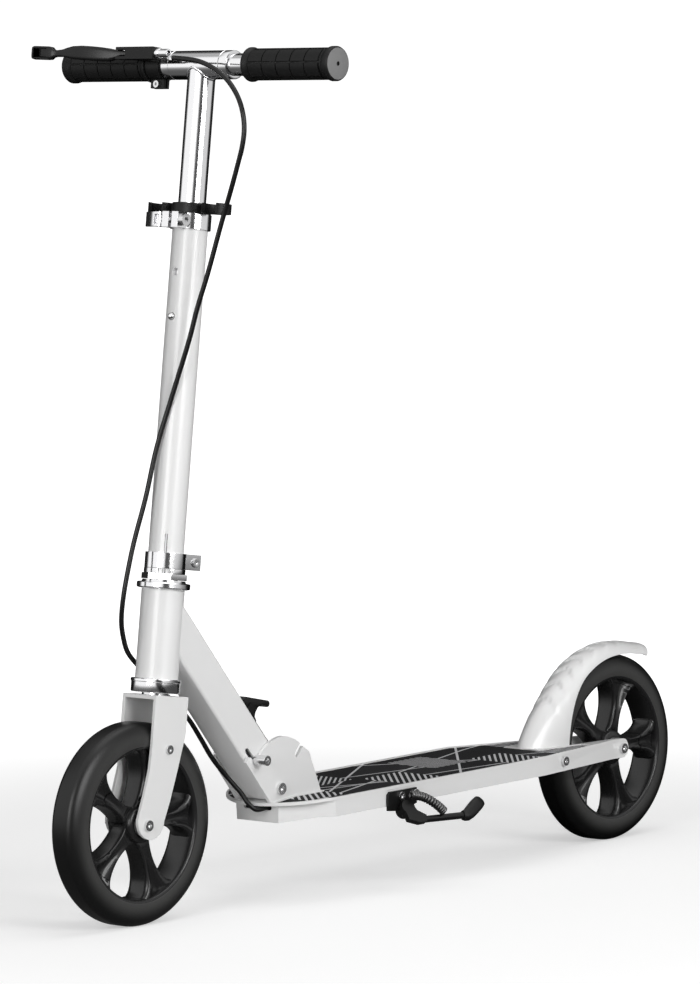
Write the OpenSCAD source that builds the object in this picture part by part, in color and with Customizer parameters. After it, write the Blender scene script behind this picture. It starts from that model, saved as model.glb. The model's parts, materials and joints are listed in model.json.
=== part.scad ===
// Folding kick scooter with two wheels, hand brake and rear step brake.
// +X points forwards, +Y to the rider's left, +Z up, and the tyres stand on Z = 0.

/* [Wheels] */
// Outer diameter of both tyres
wheel_d = 200; // [160:1:230]
// Width of a tyre
tyre_w = 35; // [28:1:36]
// Height of the tyre's side, from the rim edge to the tread
tyre_side = 22.5; // [16:0.5:26]
// Distance between the two axles
wheelbase = 736; // [700:1:800]
// Number of spokes in a wheel
spoke_n = 5; // [3:1:7]
// Outer diameter of a wheel hub
hub_d = 36; // [30:1:44]
// Outer diameter of a wheel bearing
bearing_d = 22; // [19:1:26]
// Diameter of both axles
axle_d = 8; // [6:1:10]

/* [Fork] */
// Inner distance between the two fork legs
fork_gap = 38; // [38:0.5:50]
// Thickness of the fork's sheet
fork_t = 3.5; // [3:0.5:5]
// Height of the fork crown above the axle, along the column
crown_h = 124; // [118:1:140]
// Width of the crown, front to back
crown_w = 46.5; // [42:0.5:54]

/* [Column] */
// Backward lean of the column, in degrees
lean = 7.6; // [4:0.1:12]
// Distance of the column axis behind the front axle, at axle height
trail = 21; // [14:1:28]
// Outer diameter of the white column tube
column_d = 35; // [34:0.5:37]
// Outer diameter of the height-adjusting stem
stem_d = 27.6; // [26.5:0.1:29]
// Outer diameter of the fork's steerer tube
steerer_d = 27; // [24:0.5:27]
// Outer diameter of the head tube
head_d = 42.5; // [42:0.5:46]
// Length of the head tube with its lower ring
head_l = 102; // [90:1:106]
// Height of the column tube's top end above the axle, along the column
column_top = 597; // [560:1:620]
// Height of the lower height-setting hole above the axle, along the column
hole_h = 495; // [470:1:510]
// Spacing of the height-setting holes
hole_pitch = 44; // [30:1:60]
// Diameter of the spring button
button_d = 7; // [5:0.5:8]

/* [Handlebar] */
// Height of the handlebar above the axle, along the column
bar_h = 744; // [700:1:760]
// Width of the handlebar over both grip ends
bar_w = 356; // [320:1:400]
// Outer diameter of the welded middle tube
cross_d = 28.6; // [27:0.1:30]
// Length of the welded middle tube
cross_l = 87; // [80:1:100]
// Outer diameter of the two handle tubes
handle_d = 22.2; // [20:0.1:23]
// Outer diameter of the grips
grip_d = 30.6; // [28:0.1:34]
// Distance from the middle of the bar to a grip's inner end
grip_from = 65; // [58:1:70]
// Length of the brake lever, from its pivot to its tip
lever_l = 101; // [85:1:104]

/* [Deck] */
// Overall width of the deck
deck_w = 136; // [120:1:150]
// Height of the deck's side rails
rail_h = 19.8; // [16:0.2:24]
// Thickness of the deck's walls
deck_t = 3; // [2:0.5:4]
// Height of the deck's top edge above the ground, at the middle of the wheelbase
deck_z = 109.2; // [106:0.2:116]
// Upward slope of the deck towards the rear, in degrees
deck_tilt = 1.05; // [0:0.05:2]
// Inner width of the slot for the rear wheel
wheel_slot = 43; // [41:0.5:50]
// Thickness of the grip tape
tape_t = 1; // [0.6:0.1:2]

/* [Folding hinge] */
// Height of the fold pivot above the ground
pivot_z = 115.5; // [114:0.5:122]
// Distance of the fold pivot behind the front axle
pivot_back = 192; // [180:1:205]
// Angle of the down tube above the ground, in degrees
tube_angle = 50.6; // [48:0.2:53]
// Depth of the down tube
tube_h = 38.4; // [34:0.2:42]
// Width of the down tube
tube_w = 38; // [32:0.5:40]
// Wall of the down tube
tube_t = 2.5; // [2:0.25:3.5]
// Thickness of the hinge plates
plate_t = 4; // [3:0.5:6]
// Radius of the hinge plates' round edge
plate_r = 52.5; // [50:0.5:56]
// Diameter of the lock pin
lock_d = 5; // [4:0.5:5.5]
// Distance of the lock pin from the fold pivot
lock_r = 48.5; // [47:0.1:50]

/* [Rear brake] */
// Gap between the fender's brake pad and the tyre
pad_gap = 6; // [5:0.5:7]
// Wall of the fender
fender_t = 2.4; // [2:0.2:2.8]

/* [Kickstand] */
// Length of the kickstand, from its pivot to the tip of its foot
stand_l = 97; // [90:1:100]
// Thickness of the kickstand's leg
stand_t = 7; // [6:0.5:8]

/* [Hidden] */
$fn = 64;

// Gap between pieces that only face each other
gap = 0.3;
// Radial clearance of a shaft that turns or slides in its hole
run = 0.05;
// Radial clearance of a piece that is fitted and stays put
fit = 0.02;

axle_z = wheel_d / 2;
front_x = wheelbase / 2;
rear_x = -wheelbase / 2;
foot_x = front_x - trail;
rim_r = wheel_d / 2 - tyre_side;
// Flat middle of a tyre's tread, and depth of its rounded shoulders
tread_w = 14;
shoulder_h = tyre_side * 0.75;
rim_t = 5;
rim_w = tyre_w - 1;
hub_w = 30;
bearing_w = 7;
pivot_x = front_x - pivot_back;

// Fork and head
fork_y = fork_gap / 2;
crown_t = 4;
back_h = 26;
seat_gap = 2;
lower_ring_h = 14;
lower_ring_d = head_d + 8;
head_from = crown_h + seat_gap;
head_to = head_from + head_l;
upper_ring_h = 9;
upper_ring_d = head_d + 10.5;
nut_from = head_to + upper_ring_h + gap;
nut_h = 6;
nut_af = 40;
foot_from = nut_from + nut_h;
foot_h = 5;
foot_d = 41;
collar_h = 15.5;
collar_d = 40.5;
steerer_top = foot_from + foot_h + collar_h + 60;
holder_h = 10;
holder_d = 38.5;
socket_x = 3;
socket_y = 36;
socket_d = handle_d + 0.1;

// Handlebar
grip_l = bar_w / 2 - grip_from;
flange_d = grip_d + 3.4;
lever_angle = 16.7;
insert_from = 10;
perch_x = 32;
perch_z = 8;
perch_from = cross_l / 2 + 3;
perch_w = grip_from - 1 - perch_from;
perch_bolt = 19;
lever_y = 76;
barrel_y = 32;
barrel_l = 16;
cable_d = 5;

// Deck
half_w = deck_w / 2;
slot_y = wheel_slot / 2;
nose_x = 155;
lip_x = 197;
lip_from = 142;
lip_round = 1.8;
lip_t = 3;
wall_x = lip_x - 12.5;
wall_flat = 28;
wall_taper = 42;
nose_drop = 6.2;
bend_x = -190;
arm_end_h = 20.8;
arm_t = 6;
arm_y = slot_y + arm_t;
arm_x = rear_x + 15;
slot_x = -248;
slot_taper = 16;
tape_edge = 2.5;
tape_rear = -300;
tape_notch_x = 112;

// Hinge
tube_y = tube_w / 2;
plate_y = tube_y + 0.6;
plate_out = plate_y + plate_t;
tube_low = -15.9;
tube_high = tube_low + tube_h;
end_r = 8.4;
end_lean = 0.07;
lock_a = 42.5;
lock_travel = 12;
fold_range = 86;
fold_notch_a = 128.5;
fold_notch_r = 41;
pedal_w = 30;
pedal_pivot = [86, 5.5];
base_from = 42;
base_to = 100;

// Rear brake
rod_d = 6;
rod_x = -230;
rod_z = 103;
lug_y = 13.5;
fender_foot = 113.2;
pad_r = wheel_d / 2 + pad_gap;
arm_pin = [-218, -34];
arm_z = 92.8;
arm_h = 4.6;

// Kickstand
stand_x = 47;
stand_y = half_w + 11;
stand_z = 86;
stand_splay = 32;
stand_yaw = 15;
screw_x = [47, 25];

// Brake cable's route, from the lever's barrel to the arm of the rear brake
cable_points = [
  [278, -12, 845], [281, 22, 842], [284, 46, 835], [286, 66, 824], [288, 81, 809], [290, 90, 793],
  [291, 93, 776], [292, 91, 759], [292, 85, 742], [292, 77, 721], [291, 68, 701], [292, 60, 679],
  [296, 47, 636], [300, 36, 602], [304, 27, 568], [311, 9, 512], [322, -1, 465], [334, -5, 418],
  [346, -10, 376], [354, -12, 346], [359, -14, 320], [358, -18, 297], [350, -23, 278],
  [337, -29, 262], [318, -30, 245], [298, -27, 226], [280, -22, 208], [264, -18, 191],
  [247, -18, 170], [231, -17, 148], [216, -11, 128], [207, -1, 112], [204.5, 6, 102], [198, 11, 95.6],
  [184, 13, 96.5], [165, 11, 96], [130, 6, 96.5], [80, 0, 97.5], [0, -12, 99], [-90, -30, 100],
  [-140, -44, 99], [-180, -52, 96], [-211, -53, 95]
];

white = "white";
black = "#1a1a1a";
chrome = "silver";
steel = "darkgray";

// Top of the deck's edge at a place along the scooter
function deck_top(x) =
  x > nose_x ? deck_z - nose_x * tan(deck_tilt) - (x - nose_x) * tan(nose_drop) :
  x > bend_x ? deck_z - x * tan(deck_tilt) :
  deck_bend_z + (arm_top - deck_bend_z) * (x - bend_x) / (rear_x - bend_x);
deck_bend_z = deck_z - bend_x * tan(deck_tilt);
arm_top = axle_z + arm_end_h / 2;
// Outer half-width of the deck at a place along its tapering rear arms
function arm_out(x) = half_w + (arm_y - half_w) * (x - bend_x) / (arm_x - bend_x);
// Height of the rails at a place
function rail_at(x) = x > bend_x ? rail_h : rail_h + (arm_end_h - rail_h) * (x - bend_x) / (rear_x - bend_x);

// A place beside the column, as a point of the whole scooter
function column_point(x, y, h) =
  [foot_x - h * sin(lean) + x * cos(lean), y, axle_z + h * cos(lean) + x * sin(lean)];
// Points of an arc in a plane
function arc(cx, cy, r, a, b, n = 12) = [for (i = [0:n]) let (t = a + (b - a) * i / n) [cx + r * cos(t), cy + r * sin(t)]];
// The same outline for the other side, in running order
function mirrored(points) = concat(points, [for (i = [len(points) - 1:-1:0]) [points[i][0], -points[i][1]]]);

// Puts its children on the column axis, with their Z along the column
module on_column(h = 0) {
  translate([foot_x, 0, axle_z]) rotate([0, -lean, 0]) translate([0, 0, h]) children();
}
// Puts its children at the fold pivot, with their X up along the down tube
module on_tube() {
  translate([pivot_x, 0, pivot_z]) rotate([0, -tube_angle, 0]) children();
}
// Puts its children at a wheel's axle, with their Z along the axle
module on_axle(x) {
  translate([x, 0, axle_z]) rotate([-90, 0, 0]) children();
}
// Puts its children at the kickstand's pivot, with its folded leg along -X
module on_stand() {
  translate([stand_x, stand_y, stand_z]) rotate([0, 0, -stand_yaw]) rotate([stand_splay, 0, 0]) children();
}
// An outline in the plane of X and Z, pulled out across the scooter
module across(from, to) {
  translate([0, to, 0]) rotate([90, 0, 0]) linear_extrude(to - from) children();
}
module tube(r, bore, h) {
  difference() {
    cylinder(r = r, h = h);
    translate([0, 0, -1]) cylinder(r = bore, h = h + 2);
  }
}
module rod_y(r, from, to) {
  translate([0, from, 0]) rotate([-90, 0, 0]) cylinder(r = r, h = to - from);
}
// A rectangle with round corners, made of straight and round pieces
module soft_square(w, h, r) {
  square([w, h - 2 * r], center = true);
  square([w - 2 * r, h], center = true);
  for (sx = [-1, 1], sy = [-1, 1])
    translate([sx * (w / 2 - r), sy * (h / 2 - r)]) circle(r);
}
// A socket-head screw along Z with its head's top face at the origin
module socket_screw(d, head, head_h, l) {
  difference() {
    translate([0, 0, -head_h]) cylinder(d = head, h = head_h);
    translate([0, 0, -head_h * 0.6]) cylinder(d = head * 0.5, h = head_h, $fn = 6);
  }
  translate([0, 0, -head_h - l]) cylinder(d = d, h = l);
}

// ---- Swept tubes ----
function curve(a, b, c, d, t) =
  0.5 * (2 * b + (c - a) * t + (2 * a - 5 * b + 4 * c - d) * t * t + (3 * b - a - 3 * c + d) * t * t * t);
function smooth(p, n) = let (k = len(p)) concat(
  [for (i = [0:k - 2], j = [0:n - 1]) curve(p[max(i - 1, 0)], p[i], p[i + 1], p[min(i + 2, k - 1)], j / n)],
  [p[k - 1]]);
function unit(v) = v / norm(v);
function heading(p, i) = unit(p[min(i + 1, len(p) - 1)] - p[max(i - 1, 0)]);
function carried(v, t) = unit(v - (v * t) * t);
function sides_of(p, i, v) = i == len(p) ? [] :
  let (w = carried(v, heading(p, i))) concat([w], sides_of(p, i + 1, w));
module sweep(path, r, sides = 8) {
  n = len(path);
  side = sides_of(path, 0, [0.31, 0.17, 0.94]);
  rings = [for (i = [0:n - 1]) let (t = heading(path, i), u = side[i], v = cross(t, u))
    for (k = [0:sides - 1]) path[i] + r * (cos(360 * k / sides) * u + sin(360 * k / sides) * v)];
  walls = [for (i = [0:n - 2], k = [0:sides - 1]) let (a = i * sides + k, b = i * sides + (k + 1) % sides)
    [a, a + sides, b + sides, b]];
  polyhedron(rings, concat(walls, [[for (k = [0:sides - 1]) k]],
    [[for (k = [sides - 1:-1:0]) (n - 1) * sides + k]]), convexity = 10);
}

// ---- Wheels ----
module tyre(x) {
  color(black) on_axle(x) rotate_extrude($fn = 96) {
    bulge = (tyre_w - tread_w) / 2;
    polygon(mirrored(concat(
      [[rim_r, rim_w / 2], [rim_r - 1.5, rim_w / 2], [rim_r - 1.5, tyre_w / 2], [rim_r + 3, tyre_w / 2]],
      [for (t = [90:-10:0]) [wheel_d / 2 - shoulder_h * (1 - cos(t)), tread_w / 2 + bulge * sin(t)]])));
  }
}
module spoke() {
  half = [[hub_d / 2 - 2, 10], [hub_d / 2 + 8, 7], [rim_r * 0.55, 6.5], [rim_r * 0.74, 9.5],
    [rim_r * 0.86, 15], [rim_r - rim_t + 1, 22]];
  linear_extrude(20, center = true) polygon(mirrored(half));
}
module rim(x) {
  color("#262626") on_axle(x) difference() {
    union() {
      difference() {
        cylinder(r = rim_r - fit, h = rim_w, center = true, $fn = 96);
        cylinder(r = rim_r - rim_t, h = rim_w + 2, center = true, $fn = 96);
      }
      cylinder(d = hub_d, h = hub_w, center = true);
      intersection() {
        for (i = [0:spoke_n - 1]) rotate([0, 0, -97 + 360 * i / spoke_n]) spoke();
        cylinder(r = rim_r - rim_t + 0.5, h = 40, center = true, $fn = 96);
      }
    }
    cylinder(d = bearing_d - 4, h = hub_w + 2, center = true);
    for (s = [-1, 1]) translate([0, 0, s * (hub_w / 2 - bearing_w / 2 + 0.5)])
      cylinder(d = bearing_d, h = bearing_w + 1, center = true);
  }
}
module bearings(x) {
  color(steel) on_axle(x) for (s = [-1, 1])
    translate([0, 0, s * (hub_w / 2 - bearing_w / 2) - bearing_w / 2])
      tube(bearing_d / 2 - fit, axle_d / 2 + run, bearing_w);
}
// Tube that keeps the two bearings apart
module spacer(x) {
  color(steel) on_axle(x) translate([0, 0, -hub_w / 2 + bearing_w])
    tube(axle_d / 2 + 2.5, axle_d / 2 + run, hub_w - 2 * bearing_w);
}
// Through bolt with a button head on the left and a nut on the right
module axle(x, out) {
  color(steel) on_axle(x) {
    translate([0, 0, -out - 6]) cylinder(d = axle_d, h = 2 * out + 6);
    difference() {
      translate([0, 0, out]) cylinder(d = axle_d + 3, h = 3);
      translate([0, 0, out + 1]) cylinder(d = axle_d * 0.6, h = 3, $fn = 6);
    }
    translate([0, 0, -out - 6.5]) cylinder(d = axle_d + 6.5, h = 6.5, $fn = 6);
  }
}
// Short tubes between the bearings and the fork or the deck's arms
module axle_spacers(x, to) {
  color(steel) on_axle(x) for (s = [0, 1]) mirror([0, 0, s]) translate([0, 0, hub_w / 2])
    tube(axle_d / 2 + 3, axle_d / 2 + fit, to - hub_w / 2);
}

module front_tyre() tyre(front_x);
module front_rim() rim(front_x);
module front_bearings() bearings(front_x);
module front_spacer() spacer(front_x);
module front_axle() axle(front_x, fork_y + fork_t);
module front_axle_spacers() axle_spacers(front_x, fork_y);
module rear_tyre() tyre(rear_x);
module rear_rim() rim(rear_x);
module rear_bearings() bearings(rear_x);
module rear_spacer() spacer(rear_x);
module rear_axle() axle(rear_x, arm_y);
module rear_axle_spacers() axle_spacers(rear_x, slot_y);

// ---- Fork and column ----
module fork_leg() {
  foot_r = 18.7;
  // Outline in column places: forward of the column axis, and up along it
  back = -crown_w / 2 - 0.75;
  front = crown_w / 2 - 0.75;
  toe = trail * cos(lean) - 4.8;
  toe_h = trail * sin(lean) - 1;
  polygon(concat(
    [[back, crown_h], [back, crown_h - 36], [back + 8, crown_h - 72], [toe - foot_r - 6, toe_h + 20]],
    arc(toe, toe_h, foot_r, 178, 362, 16),
    [[toe + foot_r - 6, toe_h + 24], [front + 0.8, crown_h - 72], [front, crown_h - 50], [front, crown_h]]));
}
module fork() {
  color(white) difference() {
    union() {
      for (s = [-1, 1]) on_column() across(min(s * fork_y, s * (fork_y + fork_t)), max(s * fork_y, s * (fork_y + fork_t)))
        fork_leg();
      on_column(crown_h - crown_t) translate([-crown_w / 2 - 0.75, -fork_y - 0.5, 0])
        cube([crown_w, 2 * fork_y + 1, crown_t]);
      on_column(crown_h - back_h) translate([-crown_w / 2 - 0.75, -fork_y - 0.5, 0]) cube([3, 2 * fork_y + 1, back_h]);
    }
    on_axle(front_x) cylinder(d = axle_d + 2 * fit, h = 3 * fork_gap, center = true);
    on_column(crown_h - 30) cylinder(d = steerer_d - 6, h = 60);
    fork_screw_places() cylinder(d = 5 + 2 * fit, h = 3 * fork_t, center = true);
  }
}
module fork_screw_places() {
  for (s = [-1, 1]) on_column(crown_h - 52) translate([-1, s * (fork_y + fork_t), 0]) rotate([-90 * s, 0, 0])
    children();
}
module fork_screws() {
  color(steel) fork_screw_places() translate([0, 0, 2.4]) socket_screw(5, 9, 2.4, fork_t);
}
module steerer() {
  color(chrome) on_column(crown_h) tube(steerer_d / 2, steerer_d / 2 - 3, steerer_top - crown_h);
}
// Foot of the column tube: a split ring that stands on the nut
module column_foot() {
  color(chrome) on_column(foot_from) difference() {
    tube(foot_d / 2, column_d / 2 + fit, foot_h);
    rotate([0, 0, 41]) translate([0, -6, -1]) cube([foot_d, 12, foot_h + 2]);
  }
}
module column_tube() {
  color(white) on_column(foot_from) difference() {
    tube(column_d / 2, stem_d / 2 + run, column_top - foot_from);
    for (h = [hole_h, hole_h + hole_pitch]) translate([0, 0, h - foot_from]) rotate([0, 90, 0])
      cylinder(d = button_d + 1, h = column_d);
    rotate([0, 0, 41]) translate([0, -1.5, -1]) cube([column_d, 3, 40]);
  }
}
module headset_nut() {
  color(chrome) on_column(nut_from) difference() {
    cylinder(d = nut_af / cos(30), h = nut_h, $fn = 6);
    translate([0, 0, -1]) cylinder(r = steerer_d / 2 + fit, h = nut_h + 2);
  }
}
// A split ring with two ears that point along +X, from the ring's place along the column
module ears_ring(h, ear_from, ear_l, ear_t, slit) {
  difference() {
    union() {
      cylinder(d = collar_d, h = h);
      translate([ear_from, -slit / 2 - ear_t, 0]) cube([ear_l, slit + 2 * ear_t, h]);
    }
    translate([0, 0, -1]) cylinder(r = column_d / 2 + fit, h = h + 2);
    translate([column_d / 2 - 2, -slit / 2, -1]) cube([collar_d, slit, h + 2]);
  }
}
lower_ear = 37;
module lower_clamp() {
  color(chrome) on_column(foot_from + foot_h) rotate([0, 0, 180]) difference() {
    ears_ring(collar_h, 17, 28, 4.5, 3);
    translate([lower_ear, 0, collar_h / 2]) rotate([90, 0, 0]) cylinder(d = 6 + 2 * fit, h = 40, center = true);
  }
}
module lower_clamp_bolt() {
  color(steel) on_column(foot_from + foot_h + collar_h / 2) translate([-lower_ear, 0, 0]) {
    rod_y(3, -6.5, 6);
    difference() {
      rod_y(4.6, 6, 8);
      translate([0, 6.8, 0]) rotate([-90, 0, 0]) cylinder(d = 4.4, h = 3, $fn = 6);
    }
    rod_y(4.6, -10, -6);
  }
}
upper_ear = 24;
ear_t = 8.5;
module upper_clamp() {
  color(chrome) on_column(column_top - collar_h) difference() {
    ears_ring(collar_h, 13, 17, ear_t, 4);
    translate([upper_ear, 0, collar_h / 2]) rotate([90, 0, 0]) cylinder(d = 6 + 2 * fit, h = 40, center = true);
  }
}
lever_axis_y = -18;
module upper_clamp_bolt() {
  color(steel) on_column(column_top - collar_h / 2) translate([upper_ear, 0, 0]) {
    rod_y(3, lever_axis_y + 1, ear_t + 3);
    difference() {
      rod_y(6, ear_t + 2.2, ear_t + 8);
      translate([0, ear_t + 5.5, 0]) rotate([-90, 0, 0]) cylinder(d = 6, h = 3, $fn = 6);
    }
    translate([0, lever_axis_y, -4.5]) cylinder(d = 8, h = 9);
  }
}
// Quick-release lever that turns about an upright pin at the end of the clamp's bolt
module clamp_lever() {
  h = collar_h - 1;
  color(chrome) on_column(column_top - collar_h / 2) translate([upper_ear, lever_axis_y, 0]) difference() {
    union() {
      cylinder(d = 12, h = h, center = true);
      translate([0, 0, -h / 2]) linear_extrude(h)
        polygon([[6, 0], [5, -8], [2, -16], [0, -20], [-3, -20], [-2, -15], [0, -8], [0, -5.9]]);
    }
    cylinder(d = 8 + 2 * run, h = 9.6, center = true);
    translate([-7, -4, -4.8]) cube([14, 14, 9.6]);
  }
}
// Black ring above the clamp, with an open socket on each side for a stored handle
module grip_holder() {
  color(black) on_column(column_top + gap) difference() {
    union() {
      cylinder(d = holder_d, h = holder_h);
      for (s = [-1, 1]) {
        translate([socket_x, s * socket_y, 0]) cylinder(d = socket_d + 7, h = holder_h);
        translate([-6, s > 0 ? 17 : -24, 0]) cube([12, 7, holder_h]);
      }
    }
    translate([0, 0, -1]) cylinder(r = stem_d / 2 + 0.15, h = holder_h + 2);
    for (s = [-1, 1]) translate([socket_x, s * socket_y, -1]) {
      cylinder(d = socket_d, h = holder_h + 2);
      translate([6, -socket_d / 2 + 2, 0]) cube([20, socket_d - 4, holder_h + 2]);
    }
  }
}

// ---- Neck ----
bearing_seat = steerer_d / 2 + run;
module headset_lower() {
  color(chrome) on_column(head_from) tube(lower_ring_d / 2, bearing_seat, lower_ring_h);
}
module head_tube() {
  color(white) on_column(head_from + lower_ring_h) tube(head_d / 2, head_d / 2 - 4, head_l - lower_ring_h);
}
module headset_upper() {
  color(chrome) on_column(head_to) tube(upper_ring_d / 2, bearing_seat, upper_ring_h);
}
// Room left for the tube's lower end, which must swing past the deck
module tube_end() {
  far = 90;
  across(-tube_w, tube_w) polygon(concat(
    [[0, -end_r - 2], [far, -end_r - 2], [far, far], [-end_r - end_lean * far, far], [-end_r, 0]],
    arc(0, 0, end_r, 180, 270, 12)));
}
tube_len = 270;
module tube_section(grow, l) {
  translate([0, 0, (tube_low + tube_high) / 2]) rotate([90, 0, 90])
    linear_extrude(l) soft_square(tube_w - 2 * grow, tube_h - 2 * grow, 3);
}
module down_tube() {
  color(white) difference() {
    intersection() {
      on_tube() translate([-40, 0, 0]) tube_section(0, tube_len + 40);
      translate([pivot_x, 0, pivot_z]) union() {
        tube_end();
        rotate([0, -tube_angle, 0]) translate([60, -40, -60]) cube([tube_len, 80, 120]);
      }
    }
    on_tube() translate([-42, 0, 0]) tube_section(tube_t, tube_len + 44);
    on_column() cylinder(d = head_d, h = 400);
    on_column() translate([0, -60, 0]) cube([120, 120, 420]);
    translate([pivot_x, 0, pivot_z]) rod_y(end_r - 2 + fit, -tube_w, tube_w);
    lock_path();
  }
}
// Slots in the tube's walls for the lock pin's travel along the tube
module lock_path() {
  r = lock_d / 2 + gap;
  translate([pivot_x, 0, pivot_z]) across(-tube_w, tube_w) {
    for (i = [0, 1]) translate(lock_at(i * lock_travel)) circle(r);
    rotate(tube_angle) translate([lock_flat[0], lock_flat[1] - r]) square([lock_travel, 2 * r]);
  }
}
// The lock pin's place after some travel along the tube, from the pivot
function lock_at(s) = [lock_r * cos(lock_a) + s * cos(tube_angle), lock_r * sin(lock_a) + s * sin(tube_angle)];
lock_flat = [lock_r * cos(lock_a - tube_angle), lock_r * sin(lock_a - tube_angle)];
// Turns a point about the pivot
function turned(p, a) = [p[0] * cos(a) - p[1] * sin(a), p[0] * sin(a) + p[1] * cos(a)];
module pivot_bush() {
  color(steel) translate([pivot_x, -tube_y, pivot_z]) rotate([-90, 0, 0])
    tube(end_r - 2, 4 + run, tube_w);
}
// Strip on the tube's rear face that carries the release pedal
module pedal_base() {
  color(black) on_tube() difference() {
    union() {
      translate([base_from, -pedal_w / 2, tube_high]) cube([base_to - base_from, pedal_w, 2]);
      for (s = [-1, 1]) translate([pedal_pivot[0] - 4, s * (pedal_w / 2 + 1) - 1, tube_high])
        cube([8, 2, pedal_pivot[1] + 3.5]);
    }
    translate([pedal_pivot[0], 0, tube_high + pedal_pivot[1]]) rod_y(2 + fit, -pedal_w, pedal_w);
  }
}
module release_pedal() {
  color(black) on_tube() translate([pedal_pivot[0], 0, tube_high + pedal_pivot[1]]) {
    across(-pedal_w / 2 + gap, pedal_w / 2 - gap) polygon(concat(
      [[13, -2.4], [12.5, 2.5]],
      arc(-15.5, 20.5, 3.2, 60, 230, 8),
      [[-14.5, 12], [-12.5, 4], [-11, 0], [-8, -1], [-3, -3], [3, -3]]));
    rod_y(2, -pedal_w / 2 - 2, pedal_w / 2 + 2);
  }
}

// ---- Stem and handlebar ----
stem_from = hole_h - 27;
module handlebar() {
  color(chrome) difference() {
    union() {
      on_column(stem_from) cylinder(d = stem_d, h = bar_h - stem_from);
      on_column(bar_h) rod_y(cross_d / 2, -cross_l / 2, cross_l / 2);
    }
    on_column(stem_from - 1) cylinder(d = stem_d - 5, h = bar_h - stem_from - 20);
    on_column(bar_h) rod_y(handle_d / 2 + run, -cross_l / 2 - 1, cross_l / 2 + 1);
    on_column(hole_h) rotate([0, 90, 0]) cylinder(d = button_d + 0.4, h = stem_d);
  }
}
// Snap button: a domed stud on a bent strip of spring steel inside the stem
module spring_button() {
  color(steel) on_column(hole_h) {
    translate([stem_d / 2 - 5, 0, 0]) rotate([0, 90, 0]) cylinder(d = button_d, h = 9);
    translate([stem_d / 2 + 4, 0, 0]) intersection() {
      sphere(d = button_d);
      translate([0, -button_d, -button_d]) cube(2 * button_d);
    }
    translate([stem_d / 2 - 6, -3.5, -18]) cube([1, 7, 22]);
    translate([-stem_d / 2 + 3.5, -3.5, -19]) cube([stem_d - 8.5, 7, 1]);
    translate([-stem_d / 2 + 3.5, -3.5, -19]) cube([1, 7, 20]);
  }
}
module handle(side) {
  color(chrome) on_column(bar_h) translate([0, side > 0 ? insert_from : -bar_w / 2 + 3, 0]) rotate([-90, 0, 0])
    tube(handle_d / 2, handle_d / 2 - 2, bar_w / 2 - 3 - insert_from);
}
module grip(side) {
  color(black) on_column(bar_h) rotate([-90 * side, 0, 0]) translate([0, 0, grip_from]) difference() {
    union() {
      cylinder(d = grip_d, h = grip_l);
      cylinder(d = flange_d, h = 4);
      translate([0, 0, grip_l - 7]) cylinder(d = flange_d, h = 5);
    }
    translate([0, 0, -1]) cylinder(r = handle_d / 2 + fit, h = grip_l - 2);
    translate([0, 0, grip_l - 2]) cylinder(d = 3, h = 3);
  }
}
module left_handle() handle(1);
module left_grip() grip(1);
module right_handle() handle(-1);
module right_grip() grip(-1);

// Bracket of the brake lever, clamped round the right handle tube
module lever_perch() {
  color(black) on_column(bar_h) difference() {
    union() {
      rod_y(15, -perch_from - perch_w, -perch_from);
      translate([6, -perch_from - perch_w, perch_z - 6]) cube([perch_x - 4, perch_w, 12]);
      translate([perch_x - 5, -lever_y - 6, perch_z - 6]) cube([12, lever_y + 6 - barrel_y, 12]);
      translate([-4, -perch_from - perch_w, -perch_bolt - 4]) cube([8, perch_w, 13]);
    }
    rod_y(handle_d / 2 + fit, -bar_w, 0);
    translate([-1, -bar_w, -24]) cube([2, bar_w, 24]);
    translate([-20, -perch_from - perch_w / 2, -perch_bolt]) rotate([0, 90, 0]) cylinder(d = 4 + 2 * fit, h = 40);
    // Slot for the lever's root, and the hole for its pin
    translate([perch_x - 9, -lever_y - 8, perch_z - 3.3]) cube([18, 15, 6.6]);
    translate([perch_x, -lever_y, perch_z - 10]) cylinder(d = 5, h = 20);
    // Way of the cable's inner wire, and the seat of the adjuster
    translate([perch_x - 1, -lever_y, perch_z - 1.5]) cube([3, lever_y - barrel_y - 8, 12]);
    translate([perch_x + 0.5, -barrel_y - 10, perch_z]) rod_y(3 + fit, -1, 12);
  }
}
module lever_clamp_bolt() {
  color(steel) on_column(bar_h) translate([6.4, -perch_from - perch_w / 2, -perch_bolt]) rotate([0, 90, 0])
    socket_screw(4, 7, 2.4, 12);
}
// Threaded barrel that takes the end of the cable's housing
module cable_adjuster() {
  color(chrome) on_column(bar_h) translate([perch_x + 0.5, -barrel_y, perch_z]) rotate([-90, 0, 0]) difference() {
    union() {
      translate([0, 0, -9]) cylinder(r = 3, h = 9);
      cylinder(r = 5.2, h = 5);
      translate([0, 0, 5]) cylinder(r = 4.2, h = barrel_l - 5);
    }
    translate([0, 0, 8]) cylinder(d = cable_d + 2 * fit, h = barrel_l);
    translate([0, 0, -10]) cylinder(d = 2.4, h = barrel_l + 10);
  }
}
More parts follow.
